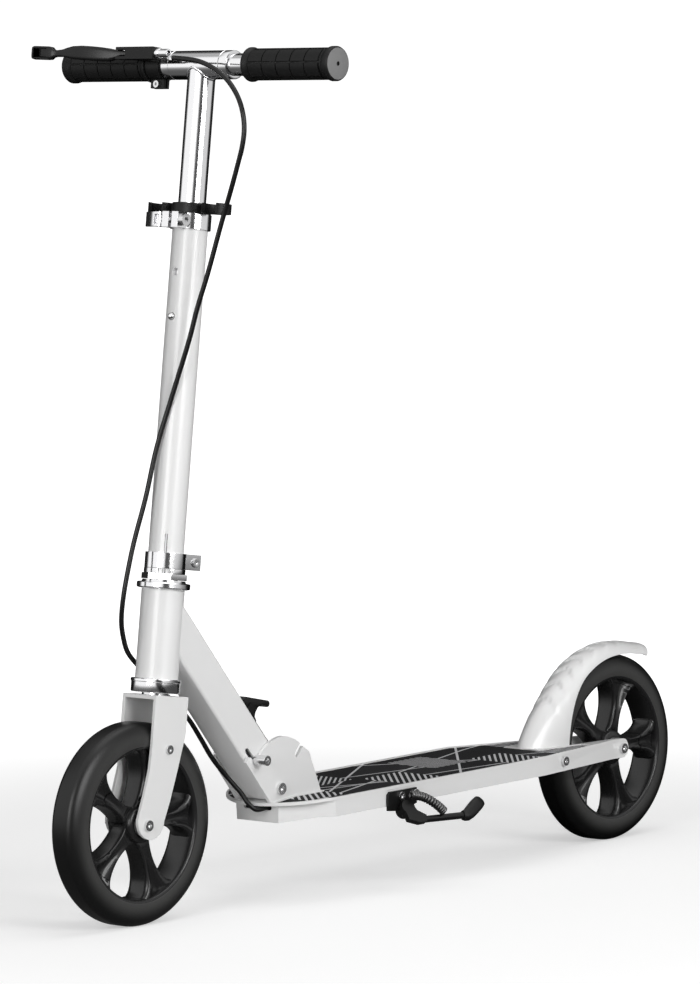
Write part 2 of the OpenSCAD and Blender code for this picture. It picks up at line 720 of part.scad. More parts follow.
// Brake lever, drawn with its blade along -Y and then set at its angle
module brake_lever() {
  color(black) on_column(bar_h) translate([perch_x, -lever_y, perch_z]) rotate([0, 0, lever_angle]) difference() {
    union() {
      translate([0, 0, -3]) cylinder(d = 10, h = 6);
      translate([-4, -13, -3]) cube([8, 13, 6]);
      translate([0, 0, -7]) linear_extrude(12) polygon(concat(
        [[-5, -10], [5, -10]], arc(-67, -45, 77, 22, -22, 8), [[2, -lever_l + 16], [2, -lever_l + 9], [-3, -lever_l + 9],
        [-3, -lever_l + 16]], arc(-67, -45, 69, -24, 26, 8)));
      translate([-4, -lever_l, -8.5]) cube([10, 14, 13]);
    }
    cylinder(d = 5 + 2 * run, h = 20, center = true);
  }
}
module lever_pin() {
  color(steel) on_column(bar_h) translate([perch_x, -lever_y, perch_z - 6]) cylinder(d = 5, h = 12);
}
module brake_cable() {
  color(black) sweep(smooth(cable_points, 2), cable_d / 2, 8);
}

// ---- Deck ----
// Rear part of the deck's outline seen from above, moved in by a margin
function rear_plan(m) = [[bend_x, half_w - m], [arm_x, arm_y - m], [rear_x - 20, arm_y - m]];
// Outline of the deck's thin edge, whose nose is a round curve
function lip_plan(m) = let (w = half_w - m, l = lip_x - m - lip_from) mirrored(concat(
  [for (t = [0:6:90]) [lip_from + l * pow(cos(t), 2 / lip_round), w * pow(sin(t), 2 / lip_round)]], rear_plan(m)));
// Outline of the deck's walls, whose nose is flat with slanted corners
function wall_plan(m) = mirrored(concat(
  [[wall_x - m, wall_flat - m * 0.4], [wall_x - wall_taper - m * 0.6, half_w - 0.6 - m]], rear_plan(m + 0.6)));
// Side band between two depths below the deck's top edge, or down to its lower edge
module deck_band(a, b, from = -400, to = lip_x) {
  xs = [for (x = [to, nose_x, bend_x, from]) if (x <= to && x >= from) x];
  top = [for (x = xs) [x, deck_top(x) - a]];
  low = [for (i = [len(xs) - 1:-1:0]) [xs[i],
    deck_top(xs[i]) - (b > 0 ? b : rail_at(xs[i]) + (xs[i] > nose_x ? 1.8 : 0))]];
  across(-half_w - 5, half_w + 5) polygon(concat(top, low));
}
module plan_of(points) {
  translate([0, 0, 60]) linear_extrude(80) polygon(points);
}
// Slot for the rear wheel, with a narrower front under the fender
module wheel_slot_cut(m = 0) {
  translate([0, 0, 60]) linear_extrude(140) polygon(mirrored(
    [[slot_x + m, slot_y - 5.5 + m], [slot_x - slot_taper + m, slot_y + m], [-500, slot_y + m]]));
}
module deck_shape() {
  difference() {
    intersection() {
      union() {
        intersection() {
          deck_band(0, lip_t);
          plan_of(lip_plan(0));
        }
        intersection() {
          deck_band(0, 0, -400, wall_x);
          plan_of(wall_plan(0));
        }
      }
      // Round ends of the arms
      union() {
        translate([rear_x, -200, 0]) cube([800, 400, 200]);
        translate([rear_x, 0, axle_z]) rod_y(arm_end_h / 2, -200, 200);
      }
    }
    wheel_slot_cut();
  }
}
module deck_hollow() {
  difference() {
    intersection() {
      deck_band(deck_t + tape_t, 60, -345, wall_x - deck_t);
      plan_of(wall_plan(deck_t));
    }
    // Inner walls of the arms
    intersection() {
      wheel_slot_cut(deck_t);
      translate([-600, -100, 0]) cube([600 + slot_x - 8, 200, 200]);
    }
  }
}
// Shallow bed for the grip tape
module tape_bed(m) {
  notch_y = plate_out + 2 - m;
  difference() {
    intersection() {
      deck_band(-2, tape_t + 1.2, tape_rear - m);
      plan_of(lip_plan(tape_edge - m));
    }
    translate([tape_notch_x + m, -notch_y, 0]) cube([200, 2 * notch_y, 200]);
    wheel_slot_cut(tape_edge + 0.5 - m);
    translate([-500, -24 + m, 0]) cube([500 + rod_x - m, 48 - 2 * m, 200]);
  }
}
module deck() {
  color(white) difference() {
    deck_shape();
    deck_hollow();
    tape_bed(0.2);
    // Slot in the front wall where the cable goes in
    translate([wall_x - 10, 0, 96.5]) rotate([0, 90, 0]) linear_extrude(20) {
      square([6, 32], center = true);
      for (s = [-1, 1]) translate([0, s * 16]) circle(3);
    }
    on_axle(rear_x) cylinder(d = axle_d + 2 * fit, h = 200, center = true);
    translate([rod_x, 0, rod_z]) rod_y(rod_d / 2 + fit, -200, 200);
    for (x = screw_x) translate([x, 0, deck_top(x) - rail_h / 2 - 1]) rod_y(2.5 + fit, 40, 100);
  }
}
module grip_tape() {
  color(black) intersection() {
    tape_bed(0);
    deck_band(1.2, tape_t + 1.2);
  }
}
// Cross braces inside the deck, which also carry the cable
brace_x = [90, -30, -150];
module deck_braces() {
  color(steel) for (x = brace_x) {
    z = deck_top(x) - deck_t - tape_t;
    y = half_w - deck_t - 0.65;
    difference() {
      translate([x - 6, -y, z - 12.4]) cube([12, 2 * y, 12.4 - 6 * tan(deck_tilt) - 0.01]);
      translate([x - 7, -y + 4, z - 14]) cube([14, y - 4 - 12, 11]);
      translate([x - 7, 14, z - 14]) cube([14, y - 18, 11]);
      translate([x - 7, x > 60 ? -3 : -5, z - 14]) cube([14, 10, 11.4]);
    }
  }
}

// ---- Folding hinge ----
// Radial notch for the lock pin, with a round floor
module notch(a, r) {
  w = lock_d + 2 * gap;
  rotate(a) {
    translate([r, -w / 2]) square([40, w]);
    translate([r, 0]) circle(d = w);
  }
}
// Plate's round edge, which starts at the lock pin as a cam that stays clear of it while it slides out
cam_edge = [for (a = [4:6:fold_range])
  let (p = turned(lock_at(lock_travel * a / fold_range), a), r = min(plate_r, norm(p) - lock_d / 2 - gap)) r * unit(p)];
module plate_outline() {
  difference() {
    polygon(concat(
      [[-65.3, -20], [9, -20], [50, 31], [46, 36]],
      cam_edge, arc(0, 0, plate_r, lock_a + fold_range + 2, 134, 3), [[-44, 33]]));
    notch(lock_a, lock_r);
    notch(fold_notch_a, fold_notch_r);
    circle(r = 4 + fit);
  }
}
module hinge_plates() {
  color(white) difference() {
    for (s = [0, 1]) mirror([0, s, 0]) translate([pivot_x, 0, pivot_z]) across(plate_y, plate_out) plate_outline();
    across(-100, 100) polygon([[0, 0], [400, 0], [400, deck_top(lip_x) + 0.01], [lip_x, deck_top(lip_x)],
      [nose_x, deck_top(nose_x)], [0, deck_top(0)]]);
  }
}
module pivot_bolt() {
  color(steel) translate([pivot_x, 0, pivot_z]) {
    rod_y(4, -plate_out - 5, plate_out);
    difference() {
      rod_y(6, plate_out, plate_out + 3);
      translate([0, plate_out + 1, 0]) rotate([-90, 0, 0]) cylinder(d = 5, h = 3, $fn = 6);
    }
    translate([0, -plate_out, 0]) rotate([90, 0, 0]) cylinder(d = 14, h = 5, $fn = 6);
  }
}
lock_out = plate_out + 16;
module lock_pin() {
  p = lock_at(0);
  color(steel) translate([pivot_x + p[0], 0, pivot_z + p[1]]) {
    rod_y(lock_d / 2, -plate_out - 5, plate_out + 6);
    rod_y(5, -plate_out - 7, -plate_out - 1);
    difference() {
      rod_y(5.2, plate_out + 1, lock_out);
      translate([0, lock_out - 4, 0]) rotate([-90, 0, 0]) cylinder(d = 5, h = 5, $fn = 6);
    }
  }
}

// ---- Rear brakes ----
module fender_rod() {
  out = arm_out(rod_x) + 1;
  color(steel) translate([rod_x, 0, rod_z]) {
    rod_y(rod_d / 2, -out - 4, out);
    difference() {
      rod_y(5, out, out + 3);
      translate([0, out + 1, 0]) rotate([-90, 0, 0]) cylinder(d = 4, h = 3, $fn = 6);
    }
    translate([0, -out, 0]) rotate([90, 0, 0]) cylinder(d = 10, h = 4, $fn = 6);
  }
}
// Fender's sections about the axle, from its front foot to its tail
fender_stations = [
  // angle, radius of the crest, radius of the side edges, half-width
  [-4, 146, 86, 23], [8, 136, 86, 23], [18, 126.3, 87, 22.6], [30, 117.5, 89.8, 22.3], [42, 112, 93.7, 22],
  [54, 110, 96.9, 21.7], [66, 110.2, 97.8, 21.3], [78, 111.5, 98.5, 20.6], [90, 113.2, 99.6, 20],
  [101, 114.7, 101.4, 19], [112, 117.8, 105, 17.8], [121.5, 123.5, 110, 16.5]
];
function fender_ring(s, wall) = let (w = s[3] - wall, edge = s[2] - (wall > 0 ? 8 : 0), crest = s[1] - wall)
  [for (t = [0:12]) let (u = 180 * t / 12, r = edge + (crest - edge) * pow(sin(u), wall > 0 ? 0.9 : 1))
    [rear_x + r * cos(s[0]), w * cos(u), axle_z + r * sin(s[0])]];
module fender_solid(wall) {
  more = wall > 0 ? 1 : 0;
  first = fender_stations[0];
  last = fender_stations[len(fender_stations) - 1];
  stations = concat([[first[0] - 2 * more, first[1], first[2], first[3]]],
    [for (i = [1:len(fender_stations) - 2]) fender_stations[i]], [[last[0] + 2 * more, last[1] + more, last[2], last[3]]]);
  rings = [for (s = stations) fender_ring(s, wall)];
  n = len(rings);
  k = len(rings[0]);
  points = [for (ring = rings) for (p = ring) p];
  walls = [for (i = [0:n - 2], j = [0:k - 1]) let (a = i * k + j, b = i * k + (j + 1) % k) [a, b, b + k, a + k]];
  polyhedron(points, concat(walls, [[for (j = [k - 1:-1:0]) j]], [[for (j = [0:k - 1]) (n - 1) * k + j]]),
    convexity = 10);
}
module fender() {
  foot = fender_foot - axle_z;
  color(white) difference() {
    union() {
      difference() {
        fender_solid(0);
        fender_solid(fender_t);
        // Foot that stays clear of the deck while the tail is pressed down
        across(-60, 60) polygon([[rear_x, 0], [0, 0], [0, fender_foot], [rod_x, fender_foot], [slot_x - 40, fender_foot + 1.8],
          [rear_x, fender_foot + 3]]);
      }
      fender_lugs();
    }
    translate([rod_x, 0, rod_z]) rod_y(rod_d / 2 + run, -60, 60);
  }
}
// Two lugs that turn on the rod under the deck's plate and come up through the slot
module fender_lugs() {
  for (s = [-1, 1]) translate([rod_x, 0, rod_z])
    across(s * lug_y - 1.5, s * lug_y + 1.5) polygon(concat(
      arc(0, 0, 4.5, 80, -100, 10), [[-26, -4], [-32, 0], [-33, 26], [-25.5, 26], [-20, 8], [-18.8, 4.4]]));
}
module brake_pad() {
  color(black) intersection() {
    fender_solid(fender_t + 0.05);
    on_axle(rear_x) difference() {
      intersection() {
        cylinder(r = pad_r + 12, h = 22, center = true, $fn = 96);
        rotate([0, 0, -95]) translate([0, -14, -20]) cube([200, 28, 40]);
      }
      cylinder(r = pad_r, h = 30, center = true, $fn = 96);
    }
  }
}
// Flat arm under the deck: the cable pulls one end forwards, and the other presses its pad on the tyre
module brake_arm() {
  color(steel) translate([arm_pin[0], arm_pin[1], arm_z]) difference() {
    union() {
      cylinder(r = 7, h = arm_h);
      linear_extrude(arm_h) polygon([[-6, 4], [4, 6], [-20, 30], [-32, 43], [-43.5, 43], [-43.5, 25], [-32, 21]]);
      linear_extrude(arm_h) polygon([[-6, -3], [6, -3], [6, -21], [-2, -21]]);
    }
    translate([0, 0, -1]) cylinder(r = 3 + run, h = arm_h + 2);
  }
}
module brake_arm_pin() {
  top = deck_top(arm_pin[0] + 3) - deck_t - tape_t;
  color(steel) translate([arm_pin[0], arm_pin[1], 0]) {
    translate([0, 0, arm_z - 2.5]) cylinder(r = 3, h = top - 0.1 - arm_z + 2.5);
    translate([0, 0, arm_z + arm_h + 0.1]) cylinder(r = 5, h = top - 0.1 - arm_z - arm_h - 0.1);
  }
}

// ---- Kickstand ----
module stand_bracket() {
  color(black) difference() {
    union() {
      translate([22, half_w, 0]) across(0, 3)
        polygon([[0, 88], [0, 103.8], [41, 103.2], [44, 100], [44, 84], [22, 82]]);
      on_stand() rod_y(7, -11.5, -3.9);
    }
    for (x = screw_x) translate([x, 0, deck_top(x) - rail_h / 2 - 1]) rod_y(2.5 + fit, 40, 100);
    on_stand() rod_y(3 + fit, -20, 10);
  }
}
module stand_screws() {
  color(steel) for (x = screw_x) translate([x, half_w + 5.6, deck_top(x) - rail_h / 2 - 1]) rotate([-90, 0, 0])
    socket_screw(5, 9, 2.6, 8);
}
foot_bend = 35;
// Pivot pin, crank and leg of the kickstand
module kickstand() {
  color(black) on_stand() {
    rod_y(3, -10.5, 3.4);
    difference() {
      union() {
        rod_y(7.5, -3.5, 3.5);
        across(-3.5, 3.5) polygon([[5, -5], [4, -14], [-8, -18.5], [-16, -18], [-18, -11], [-9, -5], [-5, 4]]);
        translate([-14, 0, -14.5]) rotate([0, -90, 0]) cylinder(d = stand_t, h = stand_l - 46);
      }
      rod_y(3, -20, 3.4);
    }
  }
}
// Rubber foot, bent upwards while the stand is folded
module stand_foot() {
  color(black) on_stand() translate([-stand_l + 32, 0, -14.5]) rotate([0, -90, 0]) {
    cylinder(d = stand_t + 4, h = 6);
    translate([0, 0, 6]) rotate([0, foot_bend, 0]) {
      sphere(d = stand_t + 4.6);
      cylinder(d = stand_t + 4, h = 14.5);
    }
  }
}
module stand_spring() {
  color(steel) on_stand() sweep(smooth([[4, 8.5, 9.5], [-6, 9.5, 9], [-18, 10, 5], [-30, 8.8, -3.5], [-38, 6, -10.6]], 3), 4, 10);
}

front_tyre();
front_rim();
front_bearings();
front_spacer();
front_axle();
front_axle_spacers();
rear_tyre();
rear_rim();
rear_bearings();
rear_spacer();
rear_axle();
rear_axle_spacers();
fork();
fork_screws();
steerer();
column_tube();
column_foot();
headset_nut();
lower_clamp();
lower_clamp_bolt();
upper_clamp();
upper_clamp_bolt();
clamp_lever();
grip_holder();
head_tube();
headset_lower();
headset_upper();
down_tube();
pivot_bush();
pedal_base();
release_pedal();
handlebar();
spring_button();
left_handle();
left_grip();
right_handle();
right_grip();
lever_perch();
lever_clamp_bolt();
cable_adjuster();
brake_lever();
lever_pin();
brake_cable();
deck();
grip_tape();
deck_braces();
hinge_plates();
pivot_bolt();
lock_pin();
fender_rod();
fender();
brake_pad();
brake_arm();
brake_arm_pin();
stand_bracket();
stand_screws();
kickstand();
stand_foot();
stand_spring();
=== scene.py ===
# Folding kick scooter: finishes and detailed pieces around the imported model. Metres, +X forwards, +Z up.
import json
import math

import bmesh
import bpy
from mathutils import Matrix, Vector


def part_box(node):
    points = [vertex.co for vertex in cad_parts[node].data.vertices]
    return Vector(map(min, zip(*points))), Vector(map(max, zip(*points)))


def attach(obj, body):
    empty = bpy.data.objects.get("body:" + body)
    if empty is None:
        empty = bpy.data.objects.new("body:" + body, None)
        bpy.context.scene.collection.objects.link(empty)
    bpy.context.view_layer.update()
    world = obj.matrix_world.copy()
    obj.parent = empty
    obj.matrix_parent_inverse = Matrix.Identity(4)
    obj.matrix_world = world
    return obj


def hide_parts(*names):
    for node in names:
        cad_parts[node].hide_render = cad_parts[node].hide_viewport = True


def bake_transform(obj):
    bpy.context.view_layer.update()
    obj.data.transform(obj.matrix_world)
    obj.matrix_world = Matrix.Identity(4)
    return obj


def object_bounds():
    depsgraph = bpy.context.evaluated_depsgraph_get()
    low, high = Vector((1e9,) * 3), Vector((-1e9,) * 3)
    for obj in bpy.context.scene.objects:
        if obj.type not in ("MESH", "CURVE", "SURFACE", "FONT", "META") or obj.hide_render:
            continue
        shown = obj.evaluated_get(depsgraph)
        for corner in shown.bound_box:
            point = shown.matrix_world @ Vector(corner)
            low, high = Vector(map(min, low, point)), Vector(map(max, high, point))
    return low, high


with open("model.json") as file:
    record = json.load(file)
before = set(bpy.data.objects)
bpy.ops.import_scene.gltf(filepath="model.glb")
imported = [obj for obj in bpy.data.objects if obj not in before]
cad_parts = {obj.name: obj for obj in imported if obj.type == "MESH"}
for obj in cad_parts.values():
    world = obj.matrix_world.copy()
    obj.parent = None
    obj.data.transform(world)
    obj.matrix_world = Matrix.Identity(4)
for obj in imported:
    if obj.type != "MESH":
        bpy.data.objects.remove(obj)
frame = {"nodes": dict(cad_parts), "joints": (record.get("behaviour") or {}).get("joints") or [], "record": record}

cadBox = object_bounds()
nodes = frame["nodes"]
joints = {j["name"]: j for j in frame["joints"]}
mm = 0.001

scene = bpy.context.scene
scene.view_settings.view_transform = "Standard"

cameraSet = {"place": (4.240, 3.702, 0.848), "yaw": 221.38, "pitch": -4.55, "roll": -0.77, "lens": 202.1,
             "sensor": 36, "reach": 60}


def makeCamera():
    yaw, pitch, roll = (math.radians(cameraSet[k]) for k in ("yaw", "pitch", "roll"))
    look = Vector((math.cos(pitch) * math.cos(yaw), math.cos(pitch) * math.sin(yaw), math.sin(pitch)))
    level = look.cross(Vector((0, 0, 1))).normalized()
    up = level.cross(look)
    right = level * math.cos(roll) + up * math.sin(roll)
    up = up * math.cos(roll) - level * math.sin(roll)
    data = bpy.data.cameras.new("camera")
    data.lens = cameraSet["lens"]
    data.sensor_width = cameraSet["sensor"]
    data.clip_end = cameraSet["reach"]
    camera = bpy.data.objects.new("camera", data)
    camera.matrix_world = Matrix((right, up, -look)).transposed().to_4x4()
    camera.location = cameraSet["place"]
    scene.collection.objects.link(camera)
    scene.camera = camera


makeCamera()
print("stage: camera")

cableSet = {
    "diameter": 5 * mm, "steps": 6,
    # The stretch that bends as the neck folds, in millimetres
    "bendFrom": (204, 6, 102), "bendTo": (290, -22, 215),
    # From the lever to the deck's slot and on to the rear brake arm, in millimetres
    "route": [
        (278, -12, 845), (281, 22, 842), (284, 46, 835), (286, 66, 824), (288, 81, 809), (290, 90, 793),
        (291, 93, 776), (292, 91, 759), (292, 85, 742), (292, 77, 721), (291, 68, 701), (292, 60, 679),
        (296, 47, 636), (300, 36, 602), (304, 27, 568), (311, 9, 512), (322, -1, 465), (334, -5, 418),
        (346, -10, 376), (354, -12, 346), (359, -14, 320), (358, -18, 297), (350, -23, 278),
        (337, -29, 262), (318, -30, 245), (298, -27, 226), (280, -22, 208), (264, -18, 191),
        (247, -18, 170), (231, -17, 148), (216, -11, 128), (207, -1, 112), (204.5, 6, 102), (198, 11, 95.6),
        (184, 13, 96.5), (165, 11, 96), (130, 6, 96.5), (80, 0, 97.5), (0, -12, 99), (-90, -30, 100),
        (-140, -44, 99), (-180, -52, 96), (-211, -53, 95)],
}


def smoothPath(points, steps):
    # Catmull-Rom curve through the points
    path = []
    for i in range(len(points) - 1):
        a, b, c, d = (points[max(0, min(i + k, len(points) - 1))] for k in (-1, 0, 1, 2))
        for j in range(steps):
            t = j / steps
            path.append(0.5 * (2 * b + (c - a) * t + (2 * a - 5 * b + 4 * c - d) * t ** 2
                               + (3 * b - a - 3 * c + d) * t ** 3))
    return path + [points[-1]]


def pathLength(path):
    return sum((b - a).length for a, b in zip(path, path[1:]))


def makeWire(name, path, radius, sides=4):
    data = bpy.data.curves.new(name, "CURVE")
    data.dimensions = "3D"
    data.bevel_depth = radius
    data.bevel_resolution = sides
    data.use_fill_caps = True
    spline = data.splines.new("POLY")
    spline.points.add(len(path) - 1)
    for point, place in zip(spline.points, path):
        point.co = (*place, 1)
    wire = bpy.data.objects.new(name, data)
    scene.collection.objects.link(wire)
    return wire


def meshOf(wire):
    # The wire's own mesh, in place of the curve object
    name = wire.name
    data = bpy.data.meshes.new_from_object(wire.evaluated_get(bpy.context.evaluated_depsgraph_get()))
    bpy.data.objects.remove(wire)
    piece = bpy.data.objects.new(name, data)
    scene.collection.objects.link(piece)
    return piece


cablePath = smoothPath([Vector(p) * mm for p in cableSet["route"]], cableSet["steps"])
cable = meshOf(makeWire("brakeCableSkin", cablePath, cableSet["diameter"] / 2))
print(f"stage: cable, {pathLength(cablePath):.3f} m")


class Value:
    # A shader socket that can stand in Python sums
    def __init__(self, finish, socket):
        self.finish, self.socket = finish, socket

    def math(self, operation, a, b=None):
        return self.finish.add("ShaderNodeMath", {"operation": operation}, [a] if b is None else [a, b])[0]

    def __add__(self, other):
        return self.math("ADD", self, other)

    def __sub__(self, other):
        return self.math("SUBTRACT", self, other)

    def __rsub__(self, other):
        return self.math("SUBTRACT", other, self)

    def __mul__(self, other):
        return self.math("MULTIPLY", self, other)

    def __truediv__(self, other):
        return self.math("DIVIDE", self, other)

    def __lt__(self, other):
        return self.math("LESS_THAN", self, other)

    def __gt__(self, other):
        return self.math("GREATER_THAN", self, other)

    def __pow__(self, other):
        return self.math("POWER", self, other)

    def __abs__(self):
        return self.math("ABSOLUTE", self)

    def fract(self):
        return self.math("FRACT", self)

    def most(self, other):
        return self.math("MAXIMUM", self, other)

    __radd__ = __add__
    __rmul__ = __mul__


class Finish:
    # A node tree of a material or of the world
    def __init__(self, tree):
        self.tree = tree
        tree.nodes.clear()

    def add(self, kind, settings=None, values=()):
        node = self.tree.nodes.new(kind)
        for key, value in (settings or {}).items():
            setattr(node, key, value)
        pairs = values.items() if isinstance(values, dict) else enumerate(values)
        for key, value in pairs:
            self.put(node.inputs[key], value)
        return [Value(self, socket) for socket in node.outputs]

    def put(self, socket, value):
        if isinstance(value, Value):
            self.tree.links.new(value.socket, socket)
        elif hasattr(value, "__len__") and socket.type == "RGBA" and len(value) == 3:
            socket.default_value = (*value, 1)
        else:
            socket.default_value = value

    def place(self):
        return self.add("ShaderNodeTexCoord")[3]

    def axes(self):
        return self.add("ShaderNodeSeparateXYZ", None, [self.place()])

    def noise(self, scale, detail=3, stretch=None):
        where = self.place()
        if stretch:
            where = self.add("ShaderNodeMapping", None, {"Vector": where, "Scale": stretch})[0]
        return self.add("ShaderNodeTexNoise", None, {"Vector": where, "Scale": scale, "Detail": detail})[0]

    def blend(self, share, a, b):
        return self.add("ShaderNodeMix", {"data_type": "RGBA"}, {0: share, 6: a, 7: b})[2]

    def bump(self, height, depth, strength=1.0):
        return self.add("ShaderNodeBump", None, {"Strength": strength, "Distance": depth, "Height": height})[0]

    def ramp(self, value, *limits):
        # Smooth step between the first two limits, from 0 to 1 or from the third limit to the fourth
        return self.add("ShaderNodeMapRange", {"interpolation_type": "SMOOTHSTEP"}, [value, *limits])[0]


def makeFinish(name, values, build):
    material = bpy.data.materials.new(name)
    material.use_nodes = True
    finish = Finish(material.node_tree)
    shader = finish.add("ShaderNodeBsdfPrincipled", None, {**values, **build(finish)})[0]
    finish.add("ShaderNodeOutputMaterial", None, [shader])
    return material


def grey(level):
    return level, level, level


def paintBuild(light, dark):
    def build(f):
        cloud = f.noise(scale=9)
        peel = f.noise(scale=900, detail=2)
        return {
            "Base Color": f.blend(cloud, dark, light),
            "Roughness": 0.26 + 0.1 * cloud,
            "Normal": f.bump(peel, depth=0.03 * mm, strength=0.35),
        }
    return build


def metalBuild(light, dark, rough, stretch, depth):
    # Fine drawn lines along one direction, and cloudy tarnish
    def build(f):
        cloud = f.noise(scale=22, detail=4)
        lines = f.noise(scale=260, detail=2, stretch=stretch)
        return {
            "Base Color": f.blend(cloud, dark, light),
            "Roughness": rough[0] + rough[1] * lines + rough[1] * cloud,
            "Normal": f.bump(lines, depth),
        }
    return build


def rubberBuild(light, dark, rough, grain, depth, endsFrom=None):
    # Fine grain, and paler discs further to the sides than endsFrom
    def build(f):
        cloud = f.noise(scale=16, detail=4)
        fine = f.noise(scale=grain)
        colour = f.blend(cloud, dark, light)
        if endsFrom:
            colour = f.blend(abs(f.axes()[1]) > endsFrom, colour, grey(0.2))
        return {
            "Base Color": colour,
            "Roughness": rough[0] + rough[1] * fine,
            "Normal": f.bump(fine, depth),
        }
    return build


# Grip tape: black grit with a layout of thin grey lines, as straight strips and ladders of short bars
tapeSet = {
    "ground": (0.005, 0.005, 0.0055), "panel": (0.011, 0.011, 0.012), "line": (0.62, 0.62, 0.63),
    "lineWidth": 2.6 * mm, "barPitch": 8.5 * mm, "barShare": 0.4,
    # Angle in degrees and offset of each long line, in metres
    "long": [(24, 0.045), (-31, -0.03), (12, -0.012), (-17, 0.012), (38, -0.075), (-42, 0.085), (8, 0.034),
             (-24, -0.08)],
    # Ladders: from X, to X, from Y, to Y, and the bars' slant
    "ladders": [
        (0.112, 0.165, -0.022, 0.055, -0.9), (0.035, 0.09, -0.062, -0.004, -1.3), (-0.03, 0.028, 0.002, 0.062, -1.0),
        (-0.125, -0.07, -0.05, 0.016, 0.7), (-0.19, -0.14, 0.004, 0.06, -1.1), (-0.3, -0.225, 0.022, 0.066, 0.0),
        (-0.3, -0.235, -0.066, -0.022, 0.0)],
}


def tapeBuild(f):
    x, y, z = f.axes()
    lines = None
    panels = None
    for angle, offset in tapeSet["long"]:
        a = math.radians(angle)
        side = x * math.sin(a) + y * math.cos(a) - offset
        line = abs(side) < tapeSet["lineWidth"] / 2
        lines = line if lines is None else lines.most(line)
        half = side > 0
        panels = half if panels is None else abs(panels - half)
    for fromX, toX, fromY, toY, slant in tapeSet["ladders"]:
        inside = (x > fromX) * (x < toX) * (y > fromY) * (y < toY)
        bars = ((x + slant * y) / tapeSet["barPitch"]).fract() < tapeSet["barShare"]
        lines = (lines * (1 - inside)).most(inside * bars)
        panels = panels * (1 - inside)
    grit = f.noise(scale=1500, detail=2)
    ground = f.blend(panels, tapeSet["ground"], tapeSet["panel"])
    worn = f.noise(scale=45, detail=4)
    return {
        "Base Color": f.blend(lines * (0.75 + 0.35 * worn), ground, tapeSet["line"]),
        "Roughness": 0.62 + 0.3 * grit,
        "Normal": f.bump(grit, depth=0.25 * mm),
    }


# Tyre black with a painted sheen: the base colour turns paler from the first radius in to the second, near the rim
tyreSet = {"darkFrom": 95 * mm, "paintedSheenFrom": 80 * mm, "dark": grey(0.006), "paintedRimSheen": (0.048, 0.048, 0.047)}
wheelPlace = Vector(joints["front_wheel_spin"]["pos_m"])


def tyreBuild(f):
    # Painted highlight: base colour turns paler towards the rim as a sheen on the inner sidewall, plain black on the
    # tread; both axles are as far from the middle
    x, y, z = f.axes()
    ahead = abs(x) - wheelPlace.x
    reach = (ahead * ahead + (z - wheelPlace.z) ** 2) ** 0.5
    paintedRimSheen = f.ramp(reach, tyreSet["darkFrom"], tyreSet["paintedSheenFrom"])
    fine = f.noise(scale=700)
    return {
        "Base Color": f.blend(paintedRimSheen * (0.7 + 0.6 * f.noise(scale=14, detail=4)), tyreSet["dark"], tyreSet["paintedRimSheen"]),
        "Roughness": 0.3 + 0.1 * fine,
        "Normal": f.bump(fine, depth=0.02 * mm),
    }


allWays, alongTube = (1, 1, 1), (1, 1, 0.02)
finishes = {
    "white_paint": makeFinish("whitePaint", {"Coat Weight": 0.3, "Coat Roughness": 0.12},
                              paintBuild((0.83, 0.83, 0.825), grey(0.8))),
    "chrome": makeFinish("chromePlate", {"Metallic": 1.0},
                         metalBuild((0.9, 0.9, 0.91), (0.85, 0.85, 0.86), (0.1, 0.04), alongTube, 0.0001 * mm)),
    "steel": makeFinish("zincSteel", {"Metallic": 1.0},
                        metalBuild(grey(0.84), (0.7, 0.7, 0.71), (0.14, 0.08), allWays, 0.006 * mm)),
    "tyre": makeFinish("tyreRubber", {"Specular IOR Level": 0.34}, tyreBuild),
    "rim": makeFinish("rimPlastic", {"Specular IOR Level": 0.45},
                      rubberBuild((0.017, 0.017, 0.0175), grey(0.011), (0.2, 0.1), 420, 0.01 * mm)),
    "black_plastic": makeFinish("blackPlastic", {"Specular IOR Level": 0.25},
                                rubberBuild(grey(0.01), grey(0.006), (0.34, 0.16), 1100, 0.04 * mm)),
    "black_paint": makeFinish("blackPaint", {"Specular IOR Level": 0.3},
                              rubberBuild(grey(0.009), grey(0.005), (0.24, 0.12), 800, 0.01 * mm)),
    "rubber": makeFinish("gripRubber", {"Specular IOR Level": 0.22},
                         rubberBuild(grey(0.011), grey(0.006), (0.4, 0.2), 900, 0.06 * mm, cadBox[1][1] - 0.4 * mm)),
    "cable": makeFinish("cableSkin", {"Specular IOR Level": 0.3},
                        rubberBuild(grey(0.01), grey(0.006), (0.26, 0.1), 900, 0.02 * mm)),
    "grip_tape": makeFinish("gripTape", {"Specular IOR Level": 0.15}, tapeBuild),
}
slotOf = {part["node"]: part["material_slot"] for part in frame["record"]["subparts"]}
for name, node in nodes.items():
    node.data.materials.clear()
    node.data.materials.append(finishes[slotOf[name]])
print("stage: finishes")

# Points closer than weld become one; flat joins and sharp edges are told apart by these angles
meshSet = {"weld": 0.002 * mm, "cadWeld": 0.003 * mm, "flat": 1, "sharp": 30, "segments": 2}


def sharpen(data, angle):
    # Smooth shading, but for edges that turn more than the angle
    bm = bmesh.new()
    bm.from_mesh(data)
    for face in bm.faces:
        face.smooth = True
    for edge in bm.edges:
        edge.smooth = len(edge.link_faces) != 2 or edge.calc_face_angle(0) < math.radians(angle)
    bm.to_mesh(data)
    bm.free()


def makePiece(name, bm, slot, body, replaced=(), angle=35, recalc=True):
    if recalc:
        bmesh.ops.remove_doubles(bm, verts=bm.verts[:], dist=meshSet["weld"])
        bmesh.ops.recalc_face_normals(bm, faces=bm.faces[:])
    data = bpy.data.meshes.new(name)
    bm.to_mesh(data)
    bm.free()
    sharpen(data, angle)
    data.materials.append(finishes[slot])
    piece = bpy.data.objects.new(name, data)
    scene.collection.objects.link(piece)
    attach(piece, body)
    if replaced:
        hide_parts(*replaced)
    return piece


